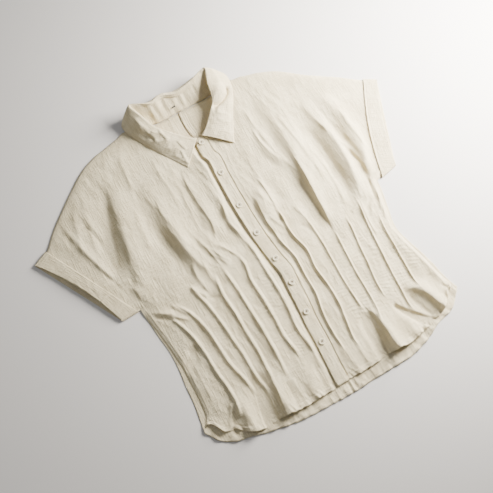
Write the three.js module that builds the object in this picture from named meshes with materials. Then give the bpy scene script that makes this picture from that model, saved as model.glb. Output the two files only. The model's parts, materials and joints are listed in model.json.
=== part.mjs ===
// A short-sleeved blouse of washed linen, laid on its back on a flat surface, front up.
// Seven sewn tucks on each front take in the waist and open into flutes at the hem.
// Units are millimetres, +Z up. The plan has x = 0 on the button line, y = 0 at the front hem
// and +Y towards the collar; +X is the wearer's left. The finished group is then moved so that
// its origin is the middle of the whole blouse's footprint, on the surface that it lies on.

import * as THREE from "three";

// ---- driving sizes -------------------------------------------------------------------------

const FRONT_CLOTH = 1.4;
const BACK_CLOTH = 1.2;
const SEAM_GAP = 0.3; // between sewn pieces
const BAND = { width: 23, wall: 1.6, bottom: 3, top: 549 };
const BAND_FLOOR = BACK_CLOTH + FRONT_CLOTH + 2 * SEAM_GAP + 0.1; // it lies on the right front
const BUTTON = { radius: 5.7, thick: 2.2, hole: 0.9, holeOffset: 1.3 };
const LOFT = 3.2; // how far the fronts lie above their seams
const ROLL = 14; // width of the rounded edge at the side seams and shoulders
const EDGE_CLEAR = 0.4; // between a front's underside and the back at the seams
const NECK_BACK_Y = 617;
const SEAM_BEND = 4; // the power by which a level line rises towards the side seam
const CUFF_WALL = 1.2;
const CUFF_LIFT = CUFF_WALL + SEAM_GAP; // the sleeve's back lies on the cuff's lower wall
const CUFF_CLEAR = 0.4;
const COLLAR_WALL = 1.4;
const COLLAR_CLEAR = 0.6; // between the collar and what it lies on

function finish(name, color, roughness) {
  return new THREE.MeshStandardMaterial({ name, color, roughness, metalness: 0 });
}

const LINEN = finish("linen", 0xe6dfd0, 0.92);
const SHELL = finish("shell_button", 0xf0ebdc, 0.28);

// ---- tables --------------------------------------------------------------------------------

// Heights at which the lengthwise lines below are measured. UNDERARM is where the side seam
// turns out along the sleeve, SLEEVE is the sleeve's lower corner, and the last is the neck.
const UNDERARM = 330;
const SLEEVE = 346;
const NECK = 545;
const HEIGHTS = [0, 30, 60, 90, 130, 170, 210, 250, 290, UNDERARM, SLEEVE, 400, 460, 510, NECK];
const SEAM_HEIGHTS = HEIGHTS.slice(0, 10);
const LOW_ROWS = [0, 15, 30, 48, 66, 82, 100, 130, 160, 190, 220, 245, 265, 285, 305];
const FRONT_ROWS = [...LOW_ROWS, UNDERARM, SLEEVE, 375, 405, 440, 475, 510, 530, NECK];

// The lengthwise lines of each front, each with a tuck: x at each height, the point on the
// neck or shoulder where the line ends, and the tuck's lower end, upper end and height.
const RIGHT_LINES = [
  {
    x: [-38, -34, -28, -29, -33, -28, -26, -27, -27, -31, -32, -32, -33, -30],
    end: [-33, 549],
    tuck: [77, 315, 3.2],
  },
  {
    x: [-64, -60, -56, -56, -61, -59, -59, -60, -55, -68, -72, -67, -69, -64],
    end: [-64, 573],
    tuck: [88, 300, 3.4],
  },
  {
    x: [-97, -96, -94, -91, -89, -89, -90, -91, -94, -98, -98, -97, -94, -91],
    end: [-84, 622],
    tuck: [74, 290, 3.4],
  },
  {
    x: [-122, -121, -120, -118, -116, -117, -117, -119, -116, -122, -124, -130, -130, -132],
    end: [-135, 630],
    tuck: [72, 285, 3.4],
  },
  {
    x: [-136, -136, -138, -142, -142, -145, -148, -153, -162, -163, -162, -160, -165, -170],
    end: [-176, 621],
    tuck: [60, 290, 3.2],
  },
  {
    x: [-178, -170, -160, -162, -171, -174, -177, -187, -206, -212, -210, -205, -212, -220],
    end: [-230, 602],
    tuck: [72, 270, 3.4],
  },
  {
    x: [-208, -202, -196, -196, -200, -201, -205, -217, -232, -238, -241, -262, -275, -288],
    end: [-306, 545],
    tuck: [55, 258, 3.4],
  },
];
const LEFT_LINES = [
  {
    x: [24, 24, 25, 24, 27, 35, 36, 38, 30, 28, 28, 27, 27, 30],
    end: [36, 551],
    tuck: [60, 300, 3.6],
  },
  {
    x: [53, 54, 51, 55, 62, 63, 60, 64, 56, 57, 56, 55, 60, 66],
    end: [66, 573],
    tuck: [55, 338, 3.8],
  },
  {
    x: [84, 86, 90, 94, 93, 93, 95, 97, 96, 93, 93, 95, 100, 104],
    end: [82, 620],
    tuck: [105, 290, 2.2],
  },
  {
    x: [105, 104, 110, 117, 120, 121, 124, 128, 130, 134, 136, 140, 141, 140],
    end: [140, 623],
    tuck: [72, 250, 2.4],
  },
  {
    x: [150, 148, 145, 142, 143, 149, 154, 160, 163, 166, 167, 170, 173, 175],
    end: [178, 611],
    tuck: [108, 262, 2.6],
  },
  {
    x: [183, 178, 173, 175, 178, 182, 186, 191, 198, 203, 205, 212, 218, 222],
    end: [228, 580],
    tuck: [60, 275, 3.0],
  },
  {
    x: [222, 215, 208, 206, 208, 210, 212, 218, 226, 230, 233, 246, 258, 270],
    end: [290, 535],
    tuck: [88, 232, 2.8],
  },
];

// Each side seam at the heights up to the underarm: the front's edge, and the x to which the
// back comes round it.
const RIGHT_SEAM = {
  x: [-262, -252, -249, -247, -246, -245, -248, -252, -257, -261],
  y: [57, 72, 88, 108, 140, 172, 208, 245, 280, 307],
  back: [-268, -265, -262, -259, -257, -253, -252, -256, -259, -261],
};
const LEFT_SEAM = {
  x: [262, 257, 253, 249, 243, 235, 230, 238, 246, 253],
  y: [62, 76, 90, 110, 140, 172, 206, 243, 280, 305],
  back: [269, 262, 258, 255, 248, 239, 233, 241, 250, 253],
};

// The hems, from the wearer's right to the left.
const FRONT_HEM = {
  x: [-262, -252, -235, -215, -198, -175, -125, -100, -50, 0, 50, 100, 140, 165, 185, 205, 225, 245, 262],
  y: [57, 60, 35, 28, 13, 5, 4, 1, 1, 3, 4, 6, 4, 10, 14, 20, 28, 46, 62],
};
const BACK_HEM = {
  x: [-268, -250, -225, -200, -175, -150, -115, -75, 0, 75, 124, 150, 170, 200, 232, 248, 269],
  y: [50, 25, 10, 5, -3, -8, -15, -18, -20, -18, -17, -11, -5, 10, 17, 28, 50],
};

// Each cuff is a flattened tube round the sleeve's end, from its folded outer edge to its loose
// inner edge. Both edges, the sleeve's own end and the line where the sleeve goes in run from
// the shoulder to the underarm. The upper layer is as high as end at its corners, bulges
// between them, and its outer edge draws back.
const RIGHT_CUFF = {
  name: "cuff_right",
  outer: [[-392, 478], [-299, 302]],
  inner: [[-362, 492], [-266, 303]],
  sleeve: [[-385, 477], [-293, 308]],
  line: [[-355, 490], [-266, 319]],
  end: 7.5,
  bulge: 8,
  draw: 10,
};
const LEFT_CUFF = {
  name: "cuff_left",
  outer: [[366, 483], [300, 310]],
  inner: [[343, 498], [264, 302]],
  sleeve: [[360, 481], [294, 315]],
  line: [[337, 497], [262, 318]],
  end: 7.5,
  bulge: 4,
  draw: 3,
};

const SIDES = [
  { name: "front_right", sign: -1, lines: RIGHT_LINES, seam: RIGHT_SEAM, cuff: RIGHT_CUFF },
  { name: "front_left", sign: 1, lines: LEFT_LINES, seam: LEFT_SEAM, cuff: LEFT_CUFF },
];

// The button band's middle line, and how high it is lifted over the right front.
const BAND_LINE = {
  y: [3, 40, 87, 130, 160, 200, 235, 265, 320, 400, 465, 497, 512, 549],
  x: [-8.5, -6.5, -2.5, -0.5, 3, 6, 9, 4.5, -0.5, -1.5, 1, 3.5, -2, -0.5],
  lift: [0.6, 0, 0.4, 0.2, 1.2, 1.8, 2.6, 1, 0.4, 0.4, 0.6, 1.4, 1.2, 2.2],
};
const BUTTON_Y = [538, 465, 390, 326, 265, 210, 149, 87];

// A soft fold: a curved line down the blouse through three points, how high it rises (or falls,
// if negative), and how far it spreads on each side of its line.
const fold = (name, from, via, to, rise, left, right) => ({ name, from, via, to, rise, left, right });
const FOLDS = [
  fold("right_shoulder_ridge", [-205, 600], [-224, 450], [-238, 290], 7, 16, 26),
  fold("right_armhole_trough", [-212, 560], [-250, 450], [-270, 350], -4, 16, 14),
  fold("right_bust_ridge", [-130, 560], [-131, 420], [-115, 290], 7, 13, 20),
  fold("right_bust_trough", [-165, 470], [-155, 390], [-145, 290], -3, 14, 12),
  fold("right_collar_crease", [-60, 500], [-63, 440], [-60, 350], 4, 9, 12),
  fold("right_band_ridge", [-30, 500], [-33, 400], [-24, 300], 4, 8, 6),
  fold("right_tuck_head", [-92, 400], [-84, 350], [-60, 300], 4, 12, 8),
  fold("right_sleeve_crease", [-312, 510], [-298, 440], [-275, 370], 3, 10, 14),
  fold("right_underarm_pull", [-262, 290], [-225, 275], [-190, 240], 4, 9, 9),
  fold("right_side_dent", [-205, 205], [-225, 175], [-246, 150], -3, 12, 12),
  fold("right_hem_corner", [-246, 110], [-250, 80], [-250, 50], 11, 12, 14),
  fold("right_hem_flute_a", [-186, 110], [-186, 60], [-188, 5], 9, 14, 14),
  fold("right_hem_trough_a", [-205, 80], [-212, 50], [-222, 20], -5, 8, 8),
  fold("right_hem_trough_b", [-145, 110], [-150, 60], [-154, -5], -6, 14, 16),
  fold("right_hem_flute_b", [-118, 120], [-116, 60], [-111, -10], 12, 12, 20),
  fold("right_hem_flute_c", [-62, 100], [-60, 50], [-60, -10], 5, 12, 14),
  fold("left_shoulder_ridge", [141, 590], [143, 440], [133, 280], 9, 10, 30),
  fold("left_bust_trough", [122, 440], [118, 350], [120, 255], -5, 12, 10),
  fold("left_armhole_trough", [190, 480], [197, 380], [190, 270], -5, 12, 16),
  fold("left_sleeve_ridge", [228, 545], [238, 440], [262, 340], 9, 12, 22),
  fold("left_underarm_trough", [222, 430], [240, 360], [226, 270], -5, 10, 9),
  fold("left_band_ridge", [50, 420], [40, 360], [46, 290], 5, 12, 12),
  fold("left_chest_crease", [88, 510], [100, 450], [124, 400], 3.5, 8, 8),
  fold("left_hem_trough_a", [86, 115], [88, 60], [88, -5], -5, 16, 10),
  fold("left_hem_flute_a", [110, 110], [112, 60], [112, -10], 13, 8, 26),
  fold("left_hem_flute_b", [150, 90], [152, 40], [160, -5], 6, 14, 14),
  fold("left_hem_trough_b", [146, 80], [165, 45], [194, 15], -7, 8, 8),
  fold("left_hem_flute_c", [178, 96], [208, 78], [226, 25], 10, 12, 12),
  fold("left_hem_corner", [250, 130], [256, 90], [258, 55], 9, 14, 10),
];
const FOLD_FADE = 0.22; // share of a fold's length over which it rises or dies away
const FOLD_STEPS = 14;

// The collar from the right front point round the neck to the left front point. seam is where
// the stand is sewn to the neck, fold is where the leaf turns over it, with its height, and edge
// is the leaf's outer edge. arch is how far the leaf bows up between fold and edge.
const COLLAR = [
  { name: "right_point", seam: [-12, 544], fold: [-7, 547, 11], edge: [-49, 505], arch: 2 },
  { name: "right_front", seam: [-32, 551], fold: [-22, 556, 14], edge: [-66, 532], arch: 3 },
  { name: "right_breast", seam: [-58, 566], fold: [-47, 581, 18], edge: [-84, 560], arch: 5 },
  { name: "right_neck", seam: [-76, 588], fold: [-69, 606, 23], edge: [-103, 593], arch: 6 },
  { name: "right_shoulder", seam: [-83, 609], fold: [-82, 637, 31], edge: [-119, 632], arch: 5 },
  { name: "right_corner", seam: [-79, 621], fold: [-90, 664, 37], edge: [-112, 656], arch: 4 },
  { name: "back_right", seam: [-52, 618.6], fold: [-54, 650, 33], edge: [-58, 664], arch: 3 },
  { name: "back_right_mid", seam: [-25, 618.6], fold: [-27, 655, 31], edge: [-27, 669], arch: 3 },
  { name: "back_middle", seam: [0, 618.6], fold: [-2, 647, 28], edge: [0, 663], arch: 3 },
  { name: "back_left_mid", seam: [26, 618.6], fold: [22, 649, 29], edge: [26, 665], arch: 3 },
  { name: "back_left", seam: [52, 618.6], fold: [46, 654, 33], edge: [56, 668], arch: 3 },
  { name: "left_corner", seam: [76, 620], fold: [75, 661, 37], edge: [106, 650], arch: 5 },
  { name: "left_shoulder", seam: [81, 609], fold: [67, 632, 31], edge: [112, 628], arch: 7 },
  { name: "left_neck", seam: [74, 588], fold: [60, 600, 23], edge: [103, 598], arch: 7 },
  { name: "left_breast", seam: [56, 566], fold: [40, 576, 18], edge: [82, 561], arch: 5 },
  { name: "left_front", seam: [34, 551], fold: [21, 557, 14], edge: [66, 531], arch: 3 },
  { name: "left_point", seam: [16, 544], fold: [7, 547, 12], edge: [53, 505], arch: 2 },
];

// ---- small tools ---------------------------------------------------------------------------

const { lerp, clamp } = THREE.MathUtils;
const point = (x, y, z) => new THREE.Vector3(x, y, z);

function smooth(value, low, high) {
  const t = clamp((value - low) / (high - low), 0, 1);
  return t * t * (3 - 2 * t);
}

// A smooth value through a table of measured values, with each slope taken from its neighbours.
function along(places, values, at) {
  const last = places.length - 1;
  let i = 0;
  while (i < last - 1 && at > places[i + 1]) i += 1;
  const span = places[i + 1] - places[i];
  const t = clamp((at - places[i]) / span, 0, 1);
  const slope = (k) => {
    const [a, b] = [Math.max(k - 1, 0), Math.min(k + 1, last)];
    return ((values[b] - values[a]) / (places[b] - places[a])) * span;
  };
  const [t2, t3] = [t * t, t * t * t];
  return (
    (2 * t3 - 3 * t2 + 1) * values[i] +
    (t3 - 2 * t2 + t) * slope(i) +
    (3 * t2 - 2 * t3) * values[i + 1] +
    (t3 - t2) * slope(i + 1)
  );
}

// A place between the two ends of a straight edge, by its share of the way.
const onEdge = (edge, share) => new THREE.Vector2(...edge[0]).lerp(new THREE.Vector2(...edge[1]), share);

// The least distance from a place to a run of points, and where along the run it is.
function nearest(run, x, y) {
  let found = { gap: Infinity, share: 0, turn: 1 };
  for (let k = 0; k + 1 < run.length; k += 1) {
    const [a, b] = [run[k], run[k + 1]];
    const [dx, dy] = [b.x - a.x, b.y - a.y];
    const t = clamp(((x - a.x) * dx + (y - a.y) * dy) / (dx * dx + dy * dy), 0, 1);
    const gap = Math.hypot(x - a.x - t * dx, y - a.y - t * dy);
    if (gap < found.gap) {
      found = { gap, share: (k + t) / (run.length - 1), turn: dx * (y - a.y) - dy * (x - a.x) };
    }
  }
  return found;
}

// A geometry of points and faces, with its faces turned outwards whichever way its grid ran.
function closedGeometry(points, faces) {
  let volume = 0;
  for (let k = 0; k < faces.length; k += 3) {
    volume += points[faces[k]].dot(points[faces[k + 1]].clone().cross(points[faces[k + 2]]));
  }
  if (volume < 0) {
    for (let k = 0; k < faces.length; k += 3) [faces[k], faces[k + 1]] = [faces[k + 1], faces[k]];
  }
  const geometry = new THREE.BufferGeometry().setFromPoints(points);
  geometry.setIndex(faces);
  geometry.computeVertexNormals();
  return geometry;
}

// The faces of two matching grids, back to back. A closed grid's last column joins its first.
function doubledFaces(rows, cols, closed) {
  const faces = [];
  const quad = (a, b, c, d) => faces.push(a, b, c, a, c, d);
  const top = (i, j) => i * cols + (j % cols);
  const under = (i, j) => rows * cols + top(i, j);
  const steps = closed ? cols : cols - 1;
  for (let j = 0; j < steps; j += 1) {
    for (let i = 0; i + 1 < rows; i += 1) {
      quad(top(i, j), top(i, j + 1), top(i + 1, j + 1), top(i + 1, j));
      quad(under(i, j), under(i + 1, j), under(i + 1, j + 1), under(i, j + 1));
    }
    quad(under(0, j), under(0, j + 1), top(0, j + 1), top(0, j));
    quad(top(rows - 1, j), top(rows - 1, j + 1), under(rows - 1, j + 1), under(rows - 1, j));
  }
  if (!closed) {
    for (let i = 0; i + 1 < rows; i += 1) {
      quad(top(i, 0), top(i + 1, 0), under(i + 1, 0), under(i, 0));
      quad(under(i, steps), under(i + 1, steps), top(i + 1, steps), top(i, steps));
    }
  }
  return faces;
}

const blouse = new THREE.Group();

function addPiece(name, geometry, material) {
  const mesh = new THREE.Mesh(geometry, material);
  mesh.name = name;
  blouse.add(mesh);
  return mesh;
}

// Adds a piece of cloth whose two faces are matching grids of points, rows by columns.
function addCloth(name, upper, lower, closed = false) {
  const faces = doubledFaces(upper.length, upper[0].length, closed);
  return addPiece(name, closedGeometry([...upper.flat(), ...lower.flat()], faces), LINEN);
}

// ---- levels of the cloth -------------------------------------------------------------------

const bandX = (y) => along(BAND_LINE.y, BAND_LINE.x, y);
const bandLift = (y) => along(BAND_LINE.y, BAND_LINE.lift, y);
const bandTop = (y) => BAND_FLOOR + BAND.wall + bandLift(y);

for (const fold of FOLDS) {
  const [from, via, to] = [fold.from, fold.via, fold.to].map((p) => new THREE.Vector2(...p));
  const pull = via.clone().multiplyScalar(2).sub(from.clone().add(to).multiplyScalar(0.5));
  fold.run = new THREE.QuadraticBezierCurve(from, pull, to).getPoints(FOLD_STEPS);
  fold.meetsHem = to.y < 60;
}

for (const side of SIDES) {
  const ends = side.lines.slice(2).map((line) => line.end);
  side.shoulder = [...ends, side.cuff.line[0], side.cuff.sleeve[0]].map((p) => new THREE.Vector2(...p));
  const seam = side.seam.x.map((x, k) => [x, side.seam.y[k]]);
  side.edge = [...seam, side.cuff.sleeve[1]].map((p) => new THREE.Vector2(...p));
}

// How far all the folds together raise the cloth at a place.
function foldsAt(x, y) {
  let rise = 0;
  for (const fold of FOLDS) {
    const { gap, share, turn } = nearest(fold.run, x, y);
    const spread = turn < 0 ? fold.left : fold.right;
    const fade = smooth(share, 0, FOLD_FADE) * (fold.meetsHem ? 1 : smooth(1 - share, 0, FOLD_FADE));
    rise += fold.rise * fade * Math.exp(-((gap / spread) ** 2));
  }
  return rise;
}

// How far a place has gone into its cuff, from 0 to 1.
function insideCuff(side, x, y) {
  const [top, bottom] = side.cuff.inner;
  const [dx, dy] = [bottom[0] - top[0], bottom[1] - top[1]];
  const past = (side.sign * ((y - top[1]) * dx - (x - top[0]) * dy)) / Math.hypot(dx, dy);
  return smooth(past, -44, -18) * smooth(y, 270, 300);
}

// The share of the way from the shoulder to the underarm at which a place lies in its cuff,
// found by halving until the place is on the straight line between the cuff's two edges.
function cuffShare(side, x, y) {
  let [low, high] = [0, 1];
  for (let k = 0; k < 16; k += 1) {
    const share = (low + high) / 2;
    const outer = onEdge(side.cuff.outer, share);
    const way = onEdge(side.cuff.inner, share).sub(outer);
    const turn = way.x * (y - outer.y) - way.y * (x - outer.x);
    if (side.sign * turn < 0) high = share;
    else low = share;
  }
  return (low + high) / 2;
}

const cuffTop = (cuff, share) => cuff.end + cuff.bulge * Math.sin(Math.PI * share);

// The upper face of a front at a place, without its tucks.
function frontLevel(side, x, y) {
  const least = BACK_CLOTH + SEAM_GAP + FRONT_CLOTH;
  const gap = Math.min(nearest(side.shoulder, x, y).gap, nearest(side.edge, x, y).gap);
  const round = Math.sqrt(1 - (1 - clamp(gap / ROLL, 0, 1)) ** 2);
  const loose = least + EDGE_CLEAR + Math.max((LOFT + foldsAt(x, y)) * round, 0);
  const inCuff = cuffTop(side.cuff, cuffShare(side, x, y)) - CUFF_WALL - CUFF_CLEAR;
  const level = lerp(loose, inCuff, insideCuff(side, x, y));
  const past = side.sign * (x - bandX(y)) - BAND.width / 2;
  if (side.sign < 0) return lerp(least, level, smooth(past, 1.5, 11));
  return lerp(BAND_FLOOR + FRONT_CLOTH + bandLift(y), level, smooth(past, 0, 14));
}

// ---- fronts and back -----------------------------------------------------------------------

// The plan of one front at a height: points from the button line out to the side or the cuff.
// Those with a tuck keep its row of the table.
function planRow(side, height) {
  const belowArm = height <= UNDERARM;
  const toNeck = clamp((height - UNDERARM) / (NECK - UNDERARM), 0, 1);
  const share = clamp((NECK - height) / (NECK - SLEEVE), 0, 1);
  const outer = belowArm
    ? new THREE.Vector2(along(SEAM_HEIGHTS, side.seam.x, height), along(SEAM_HEIGHTS, side.seam.y, height))
    : onEdge(side.cuff.sleeve, share);
  const inner = belowArm ? outer.clone() : onEdge(side.cuff.line, share);
  if (belowArm) inner.add(new THREE.Vector2(-9 * side.sign, 9 * smooth(height, 290, UNDERARM)));
  const seamY = along(SEAM_HEIGHTS, side.seam.y, Math.min(height, UNDERARM));
  const levelY = (x) => {
    if (height === 0) return along(FRONT_HEM.x, FRONT_HEM.y, x);
    const reach = clamp(x / outer.x, 0, 1) ** SEAM_BEND;
    return lerp(Math.min(height, UNDERARM), seamY, reach);
  };
  const row = side.lines.map((line) => {
    const x = along(HEIGHTS, [...line.x, line.end[0]], height);
    return { x, y: lerp(levelY(x), line.end[1], toNeck), line };
  });
  if (height === 0) inner.y = levelY(inner.x);
  return [...row, { x: inner.x, y: inner.y }, { x: outer.x, y: outer.y }];
}

// Across a tuck: how far each column stands back from its folded edge, towards the buttons,
// and its share of the tuck's height.
const TUCK_COLUMNS = [
  { back: 8, share: 0 },
  { back: 3.2, share: 0.62 },
  { back: 0.4, share: 1 },
  { back: -0.9, share: 0.06 },
];
const WIDE_FROM = 3; // from this line outwards, two plain columns stand between two lines
const WIDE_SHARES = [0.3, 0.54];

// The height of a row's line over the plan at an x, straight from place to place.
function rowY(places, x) {
  const k = places.findIndex((place) => Math.abs(place.x) >= Math.abs(x));
  if (k <= 0) return places.at(k).y;
  const [a, b] = [places[k - 1], places[k]];
  return lerp(a.y, b.y, (x - a.x) / (b.x - a.x));
}

function makeFront(side) {
  const [upper, lower] = [[], []];
  for (const height of FRONT_ROWS) {
    const startY = height === 0 ? along(FRONT_HEM.x, FRONT_HEM.y, bandX(0)) : height;
    const bandEdge = bandX(startY) + (side.sign * BAND.width) / 2;
    const starts = side.sign < 0 ? [bandEdge + BAND.width - 6, bandEdge - 1.5] : [bandEdge + SEAM_GAP];
    const plan = planRow(side, height);
    const places = [{ x: bandEdge, y: startY }, ...plan];
    const tops = starts.map((x) => point(x, startY, frontLevel(side, x, startY)));
    const put = (x, raise = 0) => {
      const y = height === 0 ? along(FRONT_HEM.x, FRONT_HEM.y, x) : rowY(places, x);
      tops.push(point(x, y, frontLevel(side, x, y) + raise));
    };
    plan.forEach((place, k) => {
      if (!place.line) {
        tops.push(point(place.x, place.y, frontLevel(side, place.x, place.y)));
        return;
      }
      const [low, high, rise] = place.line.tuck;
      const live = smooth(place.y, low - 12, low + 14) * (1 - smooth(place.y, high - 16, high + 14));
      for (const column of TUCK_COLUMNS) put(place.x - side.sign * column.back, rise * live * column.share);
      const shares = k < WIDE_FROM ? [0.42] : WIDE_SHARES;
      for (const share of shares) put(lerp(place.x, plan[k + 1].x, share));
    });
    upper.push(tops);
    lower.push(tops.map((p) => point(p.x, p.y, p.z - FRONT_CLOTH)));
  }
  addCloth(side.name, upper, lower);
}

function makeBack() {
  const [upper, lower] = [[], []];
  for (const height of HEIGHTS) {
    const toNeck = clamp((height - UNDERARM) / (NECK - UNDERARM), 0, 1);
    const middleY = lerp(Math.min(height, UNDERARM), NECK_BACK_Y, toNeck);
    const halves = SIDES.map((side) => {
      const row = planRow(side, height);
      for (const place of row.slice(0, 2)) place.y = lerp(place.y, middleY, toNeck);
      if (height < UNDERARM) row.at(-1).x = along(SEAM_HEIGHTS, side.seam.back, height);
      const [last, line] = [row.at(-3), row.at(-2)];
      const part = (share) => ({ x: lerp(last.x, line.x, share), y: lerp(last.y, line.y, share) });
      const between = WIDE_SHARES.map(part);
      row.splice(-2, 0, ...between);
      return row.map(({ x, y }) => point(x, y, CUFF_LIFT * insideCuff(side, x, y)));
    });
    const across = [...halves[0].reverse(), point(0, middleY, 0), ...halves[1]];
    if (height === 0) for (const place of across) place.y = along(BACK_HEM.x, BACK_HEM.y, place.x);
    lower.push(across);
    upper.push(across.map((p) => point(p.x, p.y, p.z + BACK_CLOTH)));
  }
  addCloth("back", upper, lower);
}

// ---- cuffs, band, collar, buttons ----------------------------------------------------------

const CUFF_STEPS = 16;
const CUFF_DEPTHS = [0, 0.15, 0.6, 1];

function makeCuff(cuff) {
  const length = onEdge(cuff.outer, 0).distanceTo(onEdge(cuff.outer, 1));
  const ring = (depth, inset) => {
    const put = (share, z, draw) => {
      const inEnd = inset / length;
      const s = lerp(inEnd, 1 - inEnd, share);
      const outer = onEdge(cuff.outer, s);
      const way = onEdge(cuff.inner, s).sub(outer);
      outer.addScaledVector(way, depth + (draw * (1 - depth)) / way.length());
      return point(outer.x, outer.y, z);
    };
    const points = [];
    for (let i = 0; i <= CUFF_STEPS; i += 1) {
      const share = i / CUFF_STEPS;
      points.push(put(share, cuffTop(cuff, share) - inset, cuff.draw * Math.sin(Math.PI * share)));
    }
    for (let i = CUFF_STEPS; i >= 0; i -= 2) points.push(put(i / CUFF_STEPS, inset, 0));
    return points;
  };
  const outer = CUFF_DEPTHS.map((depth) => ring(depth, 0));
  addCloth(cuff.name, outer, CUFF_DEPTHS.map((depth) => ring(depth, CUFF_WALL)), true);
}

function makeBand() {
  const [upper, lower] = [[], []];
  const crown = BAND.width / 2 - 1; // the radius of the rounded top end
  const crownRows = [536, 540, 543, 546, 548, BAND.top];
  const rows = [BAND.bottom, ...FRONT_ROWS.filter((y) => y > BAND.bottom && y < NECK), ...crownRows];
  for (const y of rows) {
    const down = Math.min(BAND.top - y, crown);
    const half = down < crown ? Math.max(Math.sqrt(crown ** 2 - (crown - down) ** 2), 4) : BAND.width / 2;
    const floor = BAND_FLOOR + bandLift(y);
    lower.push([-1, -0.4, 0.4, 1].map((share) => point(bandX(y) + share * half, y, floor)));
    upper.push(lower.at(-1).map((p) => point(p.x, p.y, p.z + BAND.wall)));
  }
  addCloth("button_band", upper, lower);
}

// The level on which the collar's leaf lies: the fronts, and past the shoulders the surface.
function leafLevel(x, y) {
  const side = SIDES[x < 0 ? 0 : 1];
  const shoulder = side.shoulder.map((p) => ({ at: Math.abs(p.x), y: p.y }));
  const shoulderY = along(shoulder.map((p) => p.at), shoulder.map((p) => p.y), Math.abs(x));
  return lerp(frontLevel(side, x, y) + COLLAR_CLEAR, SEAM_GAP, smooth(y - shoulderY, 2, 14));
}

// The level of the stand's lower edge: on the fronts, and from the shoulders on the back.
function standLevel(x, y) {
  const onBack = y > 612 ? smooth(80 - Math.abs(x), 0, 18) : 0;
  const over = Math.abs(x - bandX(y)) < BAND.width / 2 + 4 ? bandTop(y) : 0;
  const front = Math.max(frontLevel(SIDES[x < 0 ? 0 : 1], x, y), over) + COLLAR_CLEAR;
  return lerp(front, BACK_CLOTH + SEAM_GAP, onBack);
}

// The collar's sections, with one more between each two, so that it turns smoothly.
function collarSections() {
  const places3 = (key) => COLLAR.map((row) => point(...row[key], row[key][2] ?? 0));
  const curve = (key) => new THREE.CatmullRomCurve3(places3(key));
  const [seams, folds, edges] = ["seam", "fold", "edge"].map(curve);
  const places = COLLAR.map((_, k) => k);
  const count = 2 * (COLLAR.length - 1);
  return Array.from({ length: count + 1 }, (_, i) => {
    const [seam, fold, edge] = [seams, folds, edges].map((c) => c.getPoint(i / count));
    seam.z = standLevel(seam.x, seam.y);
    edge.z = leafLevel(edge.x, edge.y);
    return { seam, fold, edge, arch: along(places, COLLAR.map((row) => row.arch), i / 2) };
  });
}

// Adds cloth through sections of points, thickened square to them and kept above a level.
function addSections(name, sections, level) {
  const lift = (p) => point(p.x, p.y, Math.max(p.z, level(p.x, p.y)));
  const base = sections.map((row) => row.map(lift));
  const out = base.map((row, i) =>
    row.map((p, j) => {
      const onward = base[Math.min(i + 1, base.length - 1)][j].clone().sub(base[Math.max(i - 1, 0)][j]);
      const across = row[Math.min(j + 1, row.length - 1)].clone().sub(row[Math.max(j - 1, 0)]);
      return lift(p.clone().addScaledVector(onward.cross(across).normalize(), COLLAR_WALL));
    }),
  );
  addCloth(name, base, out);
}

function makeCollar() {
  const sections = collarSections();
  const stand = sections.map(({ seam, fold }) => {
    const top = fold.clone().lerp(seam, 1 / seam.distanceTo(fold));
    return [0, 0.5, 1].map((t) => seam.clone().lerp(top, t));
  });
  addSections("collar_stand", stand, standLevel);
  const leaf = sections.map(({ fold, edge, arch }) =>
    [0, 0.12, 0.35, 0.65, 1].map((t) => {
      const p = fold.clone().lerp(edge, t);
      p.z += arch * Math.sin(Math.PI * t);
      return p;
    }),
  );
  addSections("collar", leaf, leafLevel);
}

function makeButton(name, y) {
  const disc = new THREE.Shape().absarc(0, 0, BUTTON.radius, 0, 2 * Math.PI, false);
  for (const turn of [0.25, 0.75, 1.25, 1.75]) {
    const away = BUTTON.holeOffset * Math.SQRT2;
    const [cx, cy] = [away * Math.cos(turn * Math.PI), away * Math.sin(turn * Math.PI)];
    const corners = [0, 1, 2, 3, 4, 5].map((k) => {
      const angle = (-k * Math.PI) / 3;
      return new THREE.Vector2(cx + BUTTON.hole * Math.cos(angle), cy + BUTTON.hole * Math.sin(angle));
    });
    disc.holes.push(new THREE.Path(corners));
  }
  const solid = { depth: BUTTON.thick, bevelEnabled: false, curveSegments: 11 };
  const geometry = new THREE.ExtrudeGeometry(disc, solid);
  const seat = Math.max(...[-1, 0, 1].map((way) => bandTop(y + way * BUTTON.radius)));
  addPiece(name, geometry, SHELL).position.set(bandX(y), y, seat + SEAM_GAP);
}

// ---- assembly ------------------------------------------------------------------------------

makeBack();
SIDES.forEach(makeFront);
SIDES.forEach((side) => makeCuff(side.cuff));
makeBand();
makeCollar();
BUTTON_Y.forEach((y, k) => makeButton(`button_${k + 1}`, y));

// The plan's own origin is moved to the middle of the blouse's footprint.
blouse.updateMatrixWorld(true);
const bounds = new THREE.Box3().setFromObject(blouse);
const middle = bounds.getCenter(new THREE.Vector3());
blouse.position.set(-middle.x, -middle.y, -bounds.min.z);

export default blouse;
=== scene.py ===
"""A short-sleeved blouse of washed linen, laid on its back on a pale floor.

The plan is in millimetres: x = 0 on the button line, y = 0 at the front hem, +Y towards the
collar and +X towards the wearer's left. Meshes are written in metres about the frame's origin.
"""
import json
import logging
import math
from dataclasses import dataclass, field
from enum import Enum

import bpy
import numpy as np
from mathutils import Matrix, Vector

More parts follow.
